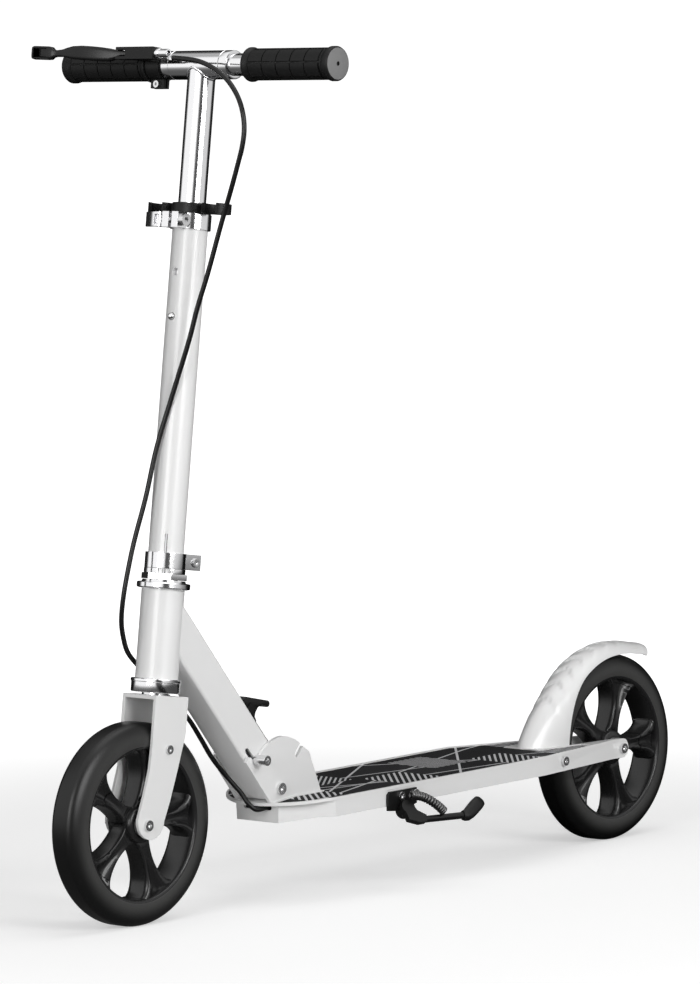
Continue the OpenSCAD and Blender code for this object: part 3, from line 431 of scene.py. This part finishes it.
def spinProfile(bm, profile, matrix, steps=96, closed=True):
    # Turns a profile of (radius, height) points about Z, then puts it in place
    verts = [bm.verts.new((r, 0, z)) for r, z in profile]
    pairs = list(zip(verts, verts[1:])) + ([(verts[-1], verts[0])] if closed else [])
    edges = [bm.edges.new(pair) for pair in pairs]
    bmesh.ops.spin(bm, geom=verts + edges, cent=(0, 0, 0), axis=(0, 0, 1), angle=math.tau, steps=steps, use_merge=True)
    spun = set(verts)
    grow = list(verts)
    while grow:
        for edge in grow.pop().link_edges:
            for vert in edge.verts:
                if vert not in spun:
                    spun.add(vert)
                    grow.append(vert)
    bmesh.ops.transform(bm, matrix=matrix, verts=list(spun))


def bothSides(profile):
    # The profile and its mirror image, with no second point on the mirror plane
    return profile + [(r, -z) for r, z in reversed(profile) if z]


def numbered(bm, points):
    # New vertices, each with its number in the row in a layer of its own
    slot = bm.verts.layers.int.get("ring") or bm.verts.layers.int.new("ring")
    verts = [bm.verts.new(p) for p in points]
    for i, vert in enumerate(verts):
        vert[slot] = i
    return slot, verts


def sweep(bm, rows, closed=False):
    # Extrudes a line of edges from row to row, each a list of as many points
    slot, verts = numbered(bm, rows[0])
    pairs = zip(verts, verts[1:] + (verts[:1] if closed else []))
    first = edges = [bm.edges.new(pair) for pair in pairs]
    for row in rows[1:]:
        made = bmesh.ops.extrude_edge_only(bm, edges=edges)["geom"]
        edges = [g for g in made if isinstance(g, bmesh.types.BMEdge) and all(v in made for v in g.verts)]
        for vert in (g for g in made if isinstance(g, bmesh.types.BMVert)):
            vert.co = row[vert[slot]]
    return first, edges


def loft(bm, rings, matrix=Matrix.Identity(4)):
    # Extrudes a closed outline from ring to ring, each a list of as many points
    slot, first = numbered(bm, [matrix @ Vector(p) for p in rings[0]])
    face = bm.faces.new(first)
    for ring in rings[1:]:
        made = bmesh.ops.extrude_face_region(bm, geom=[face])["geom"]
        face = next(g for g in made if isinstance(g, bmesh.types.BMFace))
        for vert in face.verts:
            vert.co = matrix @ Vector(ring[vert[slot]])


def softOutline(w, h, n, power):
    # A rounded rectangle of half-sizes w and h: a superellipse of n points, squarer with a higher power
    points = []
    for i in range(n):
        a = math.tau * i / n
        c, s = math.cos(a), math.sin(a)
        points.append((w * math.copysign(abs(c) ** (2 / power), c), h * math.copysign(abs(s) ** (2 / power), s)))
    return points


def turnedFrame(place, x, z):
    x, z = Vector(x).normalized(), Vector(z).normalized()
    y = z.cross(x)
    matrix = Matrix((x, y, z)).transposed().to_4x4()
    matrix.translation = place
    return matrix


columnAxis = Vector(joints["steering"]["axis"]).normalized()
columnFoot = Vector(joints["steering"]["pos_m"])
tubeAxis = Vector(joints["lock_pin"]["axis"]).normalized()
tubeUp = Vector((-tubeAxis.z, 0, tubeAxis.x))
columnForward = Vector((columnAxis.z, 0, -columnAxis.x))
column = turnedFrame(columnFoot, columnForward, columnAxis)
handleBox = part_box("left_handle")
barCentre = (handleBox[0] + handleBox[1]) / 2
barCentre.y = 0
bar = turnedFrame(barCentre, columnForward, columnAxis)
toSide = Matrix.Rotation(math.radians(-90), 4, "X")  # local Z to +Y
def alongColumn(place):
    return (place - columnFoot).dot(columnAxis)


def size(node):
    low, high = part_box(node)
    return high - low


def middle(node):
    low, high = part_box(node)
    return (low + high) / 2


def soften(node, body, width):
    bm = bmesh.new()
    bm.from_mesh(nodes[node].data)
    bmesh.ops.remove_doubles(bm, verts=bm.verts[:], dist=meshSet["cadWeld"])
    bmesh.ops.dissolve_limit(bm, angle_limit=math.radians(meshSet["flat"]), verts=bm.verts[:], edges=bm.edges[:])
    sharp = [e for e in bm.edges
             if len(e.link_faces) == 2 and e.calc_face_angle(0) > math.radians(meshSet["sharp"])]
    bmesh.ops.bevel(bm, geom=sharp, offset=width * mm, offset_type="OFFSET", affect="EDGES",
                    segments=meshSet["segments"], profile=0.5, clamp_overlap=True, material=-1)
    piece = makePiece(node + "Soft", bm, slotOf[node], body, [node], recalc=False)
    # Large flat faces keep their own direction, so the shading rounds only the narrow edges
    piece.modifiers.new("weights", "WEIGHTED_NORMAL").keep_sharp = True


members = frame["record"]["behaviour"]["bodies"]
bodyOf = {node: body for body in members for node in members[body]}
# Nodes whose edges are rounded, with the width of the rounding in millimetres
softened = {
    "fork": 1.0, "deck": 0.8, "hinge_plates": 0.7, "down_tube": 0.8, "upper_clamp": 0.5, "lower_clamp": 0.5,
    "clamp_lever": 0.6, "grip_holder": 0.3, "stand_bracket": 0.5, "kickstand": 0.8, "pedal_base": 0.5,
    "column_foot": 0.5, "headset_nut": 0.5, "lever_perch": 0.8, "lock_pin": 0.4, "pivot_bolt": 0.4,
    "column_tube": 0.3, "head_tube": 0.3, "cable_adjuster": 0.4, "front_axle": 0.4, "rear_axle": 0.4,
    "fork_screws": 0.3, "fender_rod": 0.4, "stand_screws": 0.3, "upper_clamp_bolt": 0.5, "lower_clamp_bolt": 0.4,
}
for node, width in softened.items():
    soften(node, bodyOf[node], width)
print("stage: rounded nodes")


wheelSet = {
    "steps": 144, "tread": 7 * mm, "shoulder": 16.9 * mm, "arcSteps": 18, "lining": 0.8 * mm,
    # Inner edges of the tyre: out from the rim's radius, and in from the side, in millimetres
    "bead": [(-1.2, 0.6), (1.4, 0.1)],
    # Rim: in from its radius and from the side, in millimetres, and the depth of its middle
    "lip": [(0, 0), (2.6, 0), (3.6, 1.1), (4.1, 3.5), (4.6, 8)], "well": 4.8 * mm,
    # Hub: radius, and distance from the middle plane, in millimetres
    "hub": [(11, -15), (16.6, -15), (17.8, -13.8), (18.6, -8), (18.8, 0)], "hubSteps": 72,
    "spokes": 5, "firstSpoke": -107, "spokeSteps": 3,
    # Radius from the axle, half-width, half-depth, and depth of the groove in the middle, in millimetres
    "spokeStations": [
        (13, 9, 9, 0), (17, 11.4, 10, 0), (20, 10.2, 10.6, 0), (24, 8.4, 11, 0), (30, 7.2, 11.2, 0.3),
        (37, 6.8, 11.4, 0.9), (44, 7.2, 11.8, 2), (51, 8.6, 12.4, 3.6), (57, 10.4, 13, 5), (62, 12.6, 13.6, 6),
        (66, 15, 14, 6.4), (69.5, 18, 14.3, 6.4), (72.4, 21.6, 14.5, 6), (75.6, 26, 14.5, 5.4)],
}


def makeTyre(name, node, axle, body):
    outer = size(node).x / 2
    half = size(node).y / 2
    inner = size(node.replace("tyre", "rim")).x / 2
    tread, shoulder, lining = (wheelSet[k] for k in ("tread", "shoulder", "lining"))
    profile = [(inner + r * mm, -half + y * mm) for r, y in wheelSet["bead"]]
    for i in range(wheelSet["arcSteps"] + 1):
        a = math.radians(90 - 90 / wheelSet["arcSteps"] * i)
        profile.append((outer - shoulder * (1 - math.cos(a)), -tread - (half - tread) * math.sin(a)))
    profile = bothSides(profile) + [(inner, half - lining), (inner, -half + lining)]
    bm = bmesh.new()
    spinProfile(bm, profile, Matrix.Translation(axle) @ toSide, wheelSet["steps"])
    makePiece(name, bm, "tyre", body, [node], angle=40)


def spokeRing(radius, half, depth, groove):
    # Section across a spoke: two ridges with a groove between them, on both faces, as shares of its size
    low = groove / depth
    ridge = [(-1, 0.55), (-0.94, 0.86), (-0.8, 1), (-0.58, 1), (-0.36, 1 - low * 0.8)]
    face = ridge + [(0, 1 - low)] + [(-t, z) for t, z in reversed(ridge)]
    ring = [(t * half, z * depth) for t, z in face] + [(t * half, -z * depth) for t, z in reversed(face)]
    return [(radius * math.cos(t / radius) * mm, radius * math.sin(t / radius) * mm, z * mm) for t, z in ring]


def makeRim(name, node, axle, body):
    outer = size(node).x / 2
    half = size(node).y / 2
    place = Matrix.Translation(axle) @ toSide
    lip = [(outer - r * mm, -half + z * mm) for r, z in wheelSet["lip"]] + [(outer - wheelSet["well"], 0)]
    bm = bmesh.new()
    spinProfile(bm, bothSides(lip), place, wheelSet["steps"])
    spinProfile(bm, bothSides([(r * mm, z * mm) for r, z in wheelSet["hub"]]), place, wheelSet["hubSteps"])
    stations = smoothPath([Vector(s) for s in wheelSet["spokeStations"]], wheelSet["spokeSteps"])
    for i in range(wheelSet["spokes"]):
        turn = Matrix.Rotation(math.radians(wheelSet["firstSpoke"] + 360 * i / wheelSet["spokes"]), 4, "Z")
        loft(bm, [spokeRing(*station) for station in stations], place @ turn)
    makePiece(name, bm, "rim", body, [node], angle=50)


for end, body in (("front", "front_wheel"), ("rear", "rear_wheel")):
    axle = Vector(joints[end + "_wheel_spin"]["pos_m"])
    makeTyre(end + "TyreSkin", end + "_tyre", axle, body)
    makeRim(end + "RimSpoked", end + "_rim", axle, body)
print("stage: wheels")


fenderSet = {
    "wall": 2.4 * mm, "foot": 113.2 * mm, "footSlope": 0.028, "fine": 8, "across": 32,
    # Angle about the axle, radius of the crest, radius of the side edges, half-width, in degrees and millimetres
    "stations": [
        (-8, 149, 86, 23), (8, 136, 86, 23), (18, 126.3, 87, 22.6), (30, 117.5, 89.8, 22.3), (42, 112, 93.7, 22),
        (54, 110, 96.9, 21.7), (66, 110.2, 97.8, 21.3), (78, 111.5, 98.5, 20.6), (90, 113.2, 99.6, 20),
        (101, 114.7, 101.4, 19), (112, 117.8, 105, 17.8), (121.5, 123.5, 110, 16.5)],
    # Overlapping scales, between two angles; the span holds that many, and each edge is bowed
    "scalesFrom": 22, "scalesTo": 100, "scaleSpan": 90, "scales": 8, "scaleDepth": 2.4, "bow": 0.9, "bowPower": 1.5,
}


def makeFender():
    axle = Vector(joints["rear_wheel_spin"]["pos_m"])
    fine, across, start = (fenderSet[k] for k in ("fine", "across", "scalesFrom"))
    angles = [s[0] for s in fenderSet["stations"]]
    fineAngles = [a + (b - a) * j / fine for a, b in zip(angles, angles[1:]) for j in range(fine)] + angles[-1:]
    shapes = smoothPath([Vector(s[1:]) for s in fenderSet["stations"]], fine)
    rows = []
    for angle, (crest, edge, half) in zip(fineAngles, shapes):
        a = math.radians(angle)
        depth = fenderSet["scaleDepth"] if start < angle < fenderSet["scalesTo"] else 0
        row = []
        for j in range(across + 1):
            u = math.pi * j / across
            along = (angle - start) / fenderSet["scaleSpan"] * fenderSet["scales"]
            along += fenderSet["bow"] * abs(math.cos(u)) ** fenderSet["bowPower"]
            wave = along - math.floor(along)
            r = edge + (crest - edge) * math.sin(u) - depth * math.sin(u) ** 2 * wave ** 2
            row.append(Vector((axle.x + r * mm * math.cos(a), half * mm * math.cos(u), axle.z + r * mm * math.sin(a))))
        rows.append(row)
    bm = bmesh.new()
    sweep(bm, rows)
    bmesh.ops.bisect_plane(bm, geom=bm.verts[:] + bm.edges[:] + bm.faces[:], plane_co=(0, 0, fenderSet["foot"]),
                           plane_no=(fenderSet["footSlope"], 0, -1), clear_outer=True)
    bmesh.ops.recalc_face_normals(bm, faces=bm.faces[:])
    top = max(bm.faces, key=lambda f: f.calc_center_median().z)
    if top.normal.z < 0:
        bmesh.ops.reverse_faces(bm, faces=bm.faces[:])
    bmesh.ops.solidify(bm, geom=bm.faces[:], thickness=fenderSet["wall"])
    makePiece("fenderShell", bm, "white_paint", "fender", ["fender"], angle=50)


makeFender()
print("stage: fender")

barSet = {
    "stem": 13.8 * mm, "stemWall": 2.5 * mm, "stemEdge": 0.4 * mm, "sunk": 3.5 * mm, "tubeSteps": 128,
    "cross": 14.3 * mm, "bore": 11.2 * mm, "seam": 10 * mm, "weld": 1.5 * mm, "weldSteps": 96, "weldSides": 10,
    "handle": 11.1 * mm, "wall": 2 * mm, "edge": 0.3 * mm, "handleSteps": 96,
    # In from the cross tube's surface, and back from its end or from the seam, in millimetres
    "lip": [(0.7, 0), (0.15, 0.25), (0, 0.8)], "groove": [(0, -0.7), (0.45, -0.2), (0.45, 0.2), (0, 0.7)],
}


def makeWeld(bm):
    # Bead where the stem meets the cross tube
    stem, cross, weld = (barSet[k] for k in ("stem", "cross", "weld"))
    turns = [math.tau * k / barSet["weldSides"] for k in range(barSet["weldSides"])]
    rows = []
    for i in range(barSet["weldSteps"]):
        a = math.tau * i / barSet["weldSteps"]
        out = Vector((math.cos(a), math.sin(a), 0))
        x = stem * out.x
        centre = stem * out - Vector((0, 0, math.sqrt(cross ** 2 - x ** 2)))
        rows.append([bar @ (centre + weld * (out * math.cos(b) + Vector((0, 0, 1)) * math.sin(b))) for b in turns])
    first, last = sweep(bm, rows, closed=True)
    bmesh.ops.bridge_loops(bm, edges=first + last)


def makeHandlebar():
    low = min(alongColumn(v.co) for v in nodes["handlebar"].data.vertices)
    top = alongColumn(barCentre) - low - barSet["sunk"]
    stem, edge, cross = (barSet[k] for k in ("stem", "stemEdge", "cross"))
    inner = stem - barSet["stemWall"]
    bm = bmesh.new()
    spinProfile(bm, [(inner, 0), (stem - edge, 0), (stem, edge), (stem, top), (inner, top)],
                column @ Matrix.Translation((0, 0, low)), barSet["tubeSteps"])
    end = size("handlebar").y / 2
    half = [(barSet["bore"], end)] + [(cross - r * mm, end - y * mm) for r, y in barSet["lip"]]
    half += [(cross - r * mm, end - barSet["seam"] - y * mm) for r, y in barSet["groove"]]
    spinProfile(bm, bothSides(half), bar @ toSide, barSet["tubeSteps"])
    makeWeld(bm)
    makePiece("handlebarTubes", bm, "chrome", "riser", ["handlebar"], angle=40)


def makeHandle(side):
    node = side + "_handle"
    low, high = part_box(node)
    radius, edge = barSet["handle"], barSet["edge"]
    wall = [(radius - barSet["wall"], 0), (radius - edge, 0), (radius, edge)]
    bm = bmesh.new()
    spinProfile(bm, wall + [(r, high.y - low.y - y) for r, y in reversed(wall)],
                bar @ Matrix.Translation((0, low.y, 0)) @ toSide, barSet["handleSteps"])
    makePiece(side + "HandleTube", bm, "chrome", node, [node], angle=40)


makeHandlebar()
makeHandle("left")
makeHandle("right")
print("stage: handlebar")

gripSet = {
    "around": 6, "pads": 5, "depth": 0.9 * mm, "gap": 1.2 * mm, "slit": 0.08, "steps": 96,
    "bore": 11.2 * mm, "lip": 1.3 * mm, "padFrom": 9 * mm, "padTo": 12 * mm,
    # Ends of the profile, in millimetres: in from the flange's or the barrel's radius, and along from that end
    "innerFlange": [(0.6, 0), (0, 0.8), (0, 2.6), (0.8, 3.6)], "innerBarrel": [(0, 4.6), (0.4, 6.5)],
    "outerBarrel": [(0.6, 10), (0, 8.5)], "outerFlange": [(0.5, 7.6), (0, 6.6), (0, 2.2), (0.8, 0.8), (2.4, 0)],
    # Small hole in the end disc: radius, and depth
    "hole": [(2.2, 0.15), (2, 1.8), (0.05, 1.9)],
}


def makeGrip(name, node, side, body):
    low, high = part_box(node)
    start = min(abs(low.y), abs(high.y))
    length = size(node).y
    flange = size(node).x / 2
    barrel = flange - gripSet["lip"]
    ground = barrel - gripSet["depth"]
    place = bar @ Matrix.Rotation(math.radians(-90 * side), 4, "X") @ Matrix.Translation((0, 0, start))
    padFrom, padTo = gripSet["padFrom"], length - gripSet["padTo"]
    pitch = (padTo - padFrom) / gripSet["pads"]
    profile = [(gripSet["bore"], 0)]
    profile += [(flange - r * mm, y * mm) for r, y in gripSet["innerFlange"]]
    profile += [(barrel - r * mm, y * mm) for r, y in gripSet["innerBarrel"]]
    for i in range(gripSet["pads"]):
        profile += [(ground, padFrom + pitch * i), (ground, padFrom + pitch * (i + 1) - gripSet["gap"])]
    profile += [(barrel - r * mm, length - y * mm) for r, y in gripSet["outerBarrel"]]
    profile += [(flange - r * mm, length - y * mm) for r, y in gripSet["outerFlange"]]
    profile += [(r * mm, length - y * mm) for r, y in gripSet["hole"]]
    bm = bmesh.new()
    spinProfile(bm, profile, Matrix.Identity(4), gripSet["steps"], closed=False)
    # The faces between the slits stand up as pads
    step = math.tau / gripSet["around"]
    pads = []
    for face in bm.faces:
        centre = face.calc_center_median()
        if abs(math.hypot(centre.x, centre.y) - ground) > gripSet["depth"] / 3 or not padFrom < centre.z < padTo:
            continue
        angle = math.atan2(centre.y, centre.x) % step
        if (centre.z - padFrom) % pitch < pitch - gripSet["gap"] and gripSet["slit"] < angle < step - gripSet["slit"]:
            pads.append(face)
    made = bmesh.ops.extrude_face_region(bm, geom=pads)["geom"]
    for vert in (g for g in made if isinstance(g, bmesh.types.BMVert)):
        vert.co += Vector((vert.co.x, vert.co.y, 0)).normalized() * gripSet["depth"]
    bmesh.ops.transform(bm, matrix=place, verts=bm.verts[:])
    makePiece(name, bm, "rubber", body, [node], angle=32)


makeGrip("leftGripPadded", "left_grip", 1, "left_handle")
makeGrip("rightGripPadded", "right_grip", -1, "right_handle")
print("stage: grips")

leverSet = {
    # Along the blade from the pin, middle across, half-width, middle height, half-height, in millimetres
    "stations": [
        (4, 0, 4, 0, 2.8), (-2, 0, 4.8, 0, 2.9), (-8, 0.4, 5, -1.2, 4.6), (-15, 1.6, 4.9, -1.8, 6.4),
        (-24, 3.5, 4.5, -1.6, 7), (-34, 5, 4.1, -1.2, 7.1), (-44, 5.7, 3.9, -1, 7.1), (-54, 5.4, 3.8, -1, 6.4),
        (-61, 4.4, 3.7, -1.3, 5), (-67, 3, 3.6, -1.7, 3.7), (-74, 1.5, 3.6, -2, 3.3), (-77.5, 1.1, 4.2, -2, 4.2),
        (-79.5, 1, 4.7, -1.9, 6.3), (-83, 1, 4.9, -1.8, 6.7), (-99, 1, 4.9, -1.8, 6.7), (-101, 1, 4.5, -1.8, 6.1)],
    "outline": (24, 4), "angle": 16.7,
    # Pocket in the front of the tip: where it starts, how far its faces look forwards, its rim, wall
    # and depth
    "pocketTo": -84 * mm, "pocketFace": 0.8, "pocketRim": 1.5 * mm, "pocketWall": 0.3 * mm,
    "pocketDepth": 1.4 * mm,
}


def makeLever():
    pin = Vector(joints["brake_lever"]["pos_m"])
    place = turnedFrame(pin, columnForward, columnAxis) @ Matrix.Rotation(math.radians(leverSet["angle"]), 4, "Z")
    bm = bmesh.new()
    loft(bm, [[((x + w) * mm, y * mm, (z + h) * mm)
               for w, h in softOutline(halfWidth, halfHeight, *leverSet["outline"])]
              for y, x, halfWidth, z, halfHeight in leverSet["stations"]])
    bmesh.ops.recalc_face_normals(bm, faces=bm.faces[:])
    front = [f for f in bm.faces
             if f.normal.x > leverSet["pocketFace"] and f.calc_center_median().y < leverSet["pocketTo"]]
    bmesh.ops.inset_region(bm, faces=front, thickness=leverSet["pocketRim"], depth=0)
    bmesh.ops.inset_region(bm, faces=front, thickness=leverSet["pocketWall"], depth=-leverSet["pocketDepth"])
    bmesh.ops.transform(bm, matrix=place, verts=bm.verts[:])
    makePiece("brakeLeverBlade", bm, "black_paint", "brake_lever", ["brake_lever"], angle=40)


makeLever()
print("stage: lever")

cable.data.materials.append(finishes["cable"])
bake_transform(cable)
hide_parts("brake_cable")
tuple(cablePath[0])
round(pathLength(cablePath), 3)
[tuple(p) for p in cablePath]

# Kickstand: place of its parts at the fold's pin, and the spring beside the leg, in millimetres and degrees
springSet = {
    "yaw": -15, "splay": 32, "route": [(4, 8.5, 9.5), (-6, 9.5, 9), (-18, 10, 5), (-30, 8.8, -3.5), (-38, 6, -10.6)],
    "steps": 60, "turns": 18, "radius": 3.2 * mm, "wire": 1.7 * mm, "sides": 3, "hidden": 0.2,
}
standPlace = (Matrix.Translation(joints["kickstand_fold"]["pos_m"])
              @ Matrix.Rotation(math.radians(springSet["yaw"]), 4, "Z")
              @ Matrix.Rotation(math.radians(springSet["splay"]), 4, "X"))


def makeSpring():
    centre = smoothPath([standPlace @ (Vector(p) * mm) for p in springSet["route"]], springSet["steps"])
    path = []
    side = Vector((0, 0, 1))
    for i, point in enumerate(centre):
        ahead = (centre[min(i + 1, len(centre) - 1)] - centre[max(i - 1, 0)]).normalized()
        u = (side - ahead * side.dot(ahead)).normalized()
        v = ahead.cross(u)
        turn = math.tau * springSet["turns"] * i / (len(centre) - 1)
        path.append(point + (u * math.cos(turn) + v * math.sin(turn)) * springSet["radius"])
    shown = path[int(len(path) * springSet["hidden"]):]
    wire = makeWire("standSpringCoil", shown, springSet["wire"], springSet["sides"])
    wire.data.materials.append(makeFinish("springSteel", {"Metallic": 1.0}, metalBuild(
        grey(0.16), grey(0.09), (0.26, 0.1), allWays, 0.006 * mm)))
    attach(wire, "deck")
    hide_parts("stand_spring")


makeSpring()
print("stage: cable and spring")

footSet = {
    "from": -63, "height": -14.5, "outline": (28, 3),
    # Along the leg from its end, offset up, half-sizes, and lean of the section, in millimetres and degrees
    "stations": [
        (0, 0, 4.6, 4.6, 0), (3, 0, 5.6, 5.6, 0), (6, 0.4, 6, 6.2, 15), (9.5, 2.2, 6.2, 6.6, 33),
        (15, 6, 6.3, 6.9, 35), (21, 10.2, 6.3, 7, 35), (25, 13, 5.8, 6.4, 35), (26.4, 14, 4.6, 5, 35)],
}


def makeFoot():
    rings = []
    for along, lift, half, tall, lean in footSet["stations"]:
        x, z, a = footSet["from"] - along, footSet["height"] + lift, math.radians(lean)
        rings.append([((x + h * math.sin(a)) * mm, w * mm, (z + h * math.cos(a)) * mm)
                      for w, h in softOutline(half, tall, *footSet["outline"])])
    bm = bmesh.new()
    loft(bm, rings, standPlace)
    makePiece("standFootPad", bm, "rubber", "kickstand", ["stand_foot"], angle=50)


makeFoot()
print("stage: kickstand foot")
pedalSet = {
    "half": 14.5 * mm, "pin": 2 * mm, "pinCore": 0.05 * mm, "pinSteps": 24, "round": 0.5 * mm, "sharp": 0.6,
    # Outline of the pad seen from the side, along the tube and above it from the pivot, in millimetres
    "top": [(13, -2.4), (12.5, 2.5)],
    # Rolled tip: centre and radius, and the angles that its arc runs between
    "curl": (-15.5, 20.5, 3.4), "curlFrom": 58, "curlTo": 262, "curlSteps": 14,
    "under": [(-13.6, 16.6), (-10.6, 14.4), (-8.9, 11.2), (-8.6, 7.2), (-9.6, 2.6), (-12, -1), (-17, -2), (-17, -3),
              (3, -3)],
}


def makePedal():
    x, z, r = pedalSet["curl"]
    steps, turned = pedalSet["curlSteps"], pedalSet["curlTo"] - pedalSet["curlFrom"]
    angles = [math.radians(pedalSet["curlFrom"] + turned * i / steps) for i in range(steps + 1)]
    outline = pedalSet["top"] + [(x + r * math.cos(a), z + r * math.sin(a)) for a in angles] + pedalSet["under"]
    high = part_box("release_pedal")[1]
    half = min(high.y, pedalSet["half"])
    place = turnedFrame(Vector(joints["release_pedal"]["pos_m"]), tubeAxis, tubeUp)
    bm = bmesh.new()
    loft(bm, [[(px * mm, y, pz * mm) for px, pz in outline] for y in (half, -half)], place)
    sharp = [e for e in bm.edges if e.calc_face_angle(0) > pedalSet["sharp"]]
    bmesh.ops.bevel(bm, geom=sharp, offset=pedalSet["round"], offset_type="OFFSET", affect="EDGES", segments=2,
                    profile=0.5, clamp_overlap=True, material=-1)
    core, pin = pedalSet["pinCore"], pedalSet["pin"]
    spinProfile(bm, [(core, -high.y), (pin, -high.y), (pin, high.y), (core, high.y)], place @ toSide,
                pedalSet["pinSteps"], closed=False)
    makePiece("releasePedalPad", bm, "black_plastic", "release_pedal", ["release_pedal"], angle=35)


makePedal()

# Painted shade: a dark sheet inside the deck's front wall, behind the cable's slot
slotShadeSet = {
    "wall": 184.5 * mm, "inside": 4 * mm, "thick": 3 * mm, "halfWidth": 20.5 * mm, "halfHeight": 4.6 * mm,
    "height": 96.3 * mm, "outline": (28, 5),
}


def makeSlotShade():
    # Painted shade: a dark sheet behind the cable's slot in the deck's front wall, standing in for the shade inside
    # the deck
    front = slotShadeSet["wall"] - slotShadeSet["inside"]
    outline = softOutline(slotShadeSet["halfWidth"], slotShadeSet["halfHeight"], *slotShadeSet["outline"])
    bm = bmesh.new()
    loft(bm, [[(x, y, slotShadeSet["height"] + z) for y, z in outline] for x in (front, front - slotShadeSet["thick"])])
    makePiece("cableSlotShade", bm, "black_plastic", "deck", angle=40)


makeSlotShade()
print("stage: pedal and slot shade")
ringSet = {
    # Chrome rings of the headset: CAD node, half its height, and radius and height around it, in millimetres
    "headsetLowerCup": ("headset_lower", 7, [
        (14, 0.2), (23.4, 0.2), (24.3, 0.8), (24.6, 1.6), (24.6, 10.4), (25.3, 11), (25.3, 13.2), (24.6, 13.9),
        (14, 13.9)]),
    "headsetUpperCup": ("headset_upper", 4.5, [
        (14, 0.1), (22.6, 0.1), (25.6, 0.7), (26.4, 1.6), (26.4, 5.6), (25.8, 6.4), (21.8, 6.9), (21.2, 8.9),
        (14, 8.9)]),
}
for name, (node, below, profile) in ringSet.items():
    bm = bmesh.new()
    spinProfile(bm, [(r * mm, h * mm) for r, h in profile],
                column @ Matrix.Translation((0, 0, alongColumn(middle(node)) - below * mm)))
    makePiece(name, bm, "chrome", "neck", [node], angle=30)
print("stage: rings")

stageSet = {
    "floor": 30, "matte": 0.74, "sky": 1.05, "ambient": 0.17, "ambientLow": 0.8, "ambientRise": 0.4,
    # Light that the floor gives off to the eye, and that polished parts see in it, near the object and far off
    "nearGlow": 0.45, "farGlow": 1.2, "glowFrom": 0.55, "glowTo": 2.2, "mirrorNear": 0.1, "mirrorFrom": 1.1,
    "mirrorTo": 7,
    # Above this height, as a share, polished parts see plain sky
    "skyFrom": 0.62, "skyTo": 0.86,
    # Dark strips around the object: where each starts and ends, as a cosine, and its light before and after
    "streakTurn": 14, "front": (0.95, 0.985, 1.0, 0.08), "back": (-0.5, -0.2, 0.02, 1.0),
    "side": (0.1, 0.9, 1.0, 0.68),
}
# Place, target, width, height and power
lampSet = {
    "frontLamp": ((4.0, 0.85, 1.4), (0.1, 0, 0.4), 1.5, 1.8, 50),
    "keyLamp": ((0.7, 3.95, 1.75), (0, 0, 0.38), 2.2, 2.2, 100),
    "topLamp": ((-0.4, 0.6, 3.4), (0, 0, 0.3), 2.4, 2.4, 24),
}


def mirrorStrips(f, x, y, flat):
    # Polished tubes show the strips before and behind the object as a middle line and dark edges
    toward = math.radians(cameraSet["yaw"] - 180)

    def strip(angle, limits):
        return f.ramp((x * math.cos(angle) + y * math.sin(angle)) / flat, *limits)

    front = strip(toward + math.radians(stageSet["streakTurn"]), stageSet["front"])
    return front * strip(toward, stageSet["back"]) * strip(toward + math.pi / 2, stageSet["side"])


def makeFloor():
    bm = bmesh.new()
    bmesh.ops.create_grid(bm, x_segments=1, y_segments=1, size=stageSet["floor"])
    data = bpy.data.meshes.new("floor")
    bm.to_mesh(data)
    bm.free()
    floor = bpy.data.objects.new("floor", data)
    scene.collection.objects.link(floor)
    material = bpy.data.materials.new("paleFloor")
    material.use_nodes = True
    f = Finish(material.node_tree)
    matte = f.add("ShaderNodeBsdfDiffuse", None, {"Color": grey(stageSet["matte"])})[0]
    x, y, z = f.axes()
    reach = (x * x + y * y) ** 0.5
    level = f.ramp(reach, *(stageSet[k] for k in ("glowFrom", "glowTo", "nearGlow", "farGlow")))
    glow = f.add("ShaderNodeEmission", None, {"Color": (1, 1, 1), "Strength": level})[0]
    both = f.add("ShaderNodeAddShader", None, [matte, glow])[0]
    mirrored = f.ramp(reach, *(stageSet[k] for k in ("mirrorFrom", "mirrorTo", "mirrorNear", "sky")))
    sheen = f.add("ShaderNodeEmission", None,
                  {"Color": (1, 1, 1), "Strength": mirrored * mirrorStrips(f, x, y, reach + 0.01)})[0]
    path = f.add("ShaderNodeLightPath")
    seen = f.add("ShaderNodeMixShader", None, [path[0], matte, both])[0]
    shader = f.add("ShaderNodeMixShader", None, [path[3], seen, sheen])[0]
    f.add("ShaderNodeOutputMaterial", None, [shader])
    data.materials.append(material)


def makeLamp(name, place, target, width, height, power):
    data = bpy.data.lights.new(name, "AREA")
    data.shape = "RECTANGLE"
    data.size, data.size_y, data.energy = width, height, power
    lamp = bpy.data.objects.new(name, data)
    lamp.location = place
    lamp.rotation_euler = (Vector(target) - Vector(place)).to_track_quat("-Z", "Y").to_euler()
    scene.collection.objects.link(lamp)


def makeWorld():
    world = bpy.data.worlds.new("studio")
    scene.world = world
    world.use_nodes = True
    f = Finish(world.node_tree)
    x, y, z = f.add("ShaderNodeSeparateXYZ", None, [f.add("ShaderNodeTexCoord")[0]])
    path = f.add("ShaderNodeLightPath")
    camera, glossy = path[0], path[3]
    flat = (x * x + y * y + 0.0001) ** 0.5
    strips = mirrorStrips(f, x, y, flat)
    high = f.ramp(z, stageSet["skyFrom"], stageSet["skyTo"])
    mirrorLight = (strips + (1 - strips) * high) * stageSet["sky"]
    soft = stageSet["ambient"] * (stageSet["ambientLow"] + stageSet["ambientRise"] * z)
    level = glossy * mirrorLight + (1 - glossy) * soft
    strength = camera * stageSet["sky"] + (1 - camera) * level
    shader = f.add("ShaderNodeBackground", None, {"Color": (1, 1, 1), "Strength": strength})[0]
    f.add("ShaderNodeOutputWorld", None, [shader])


makeFloor()
makeWorld()
for name, values in lampSet.items():
    makeLamp(name, *values)
print("stage: floor, world and lamps")
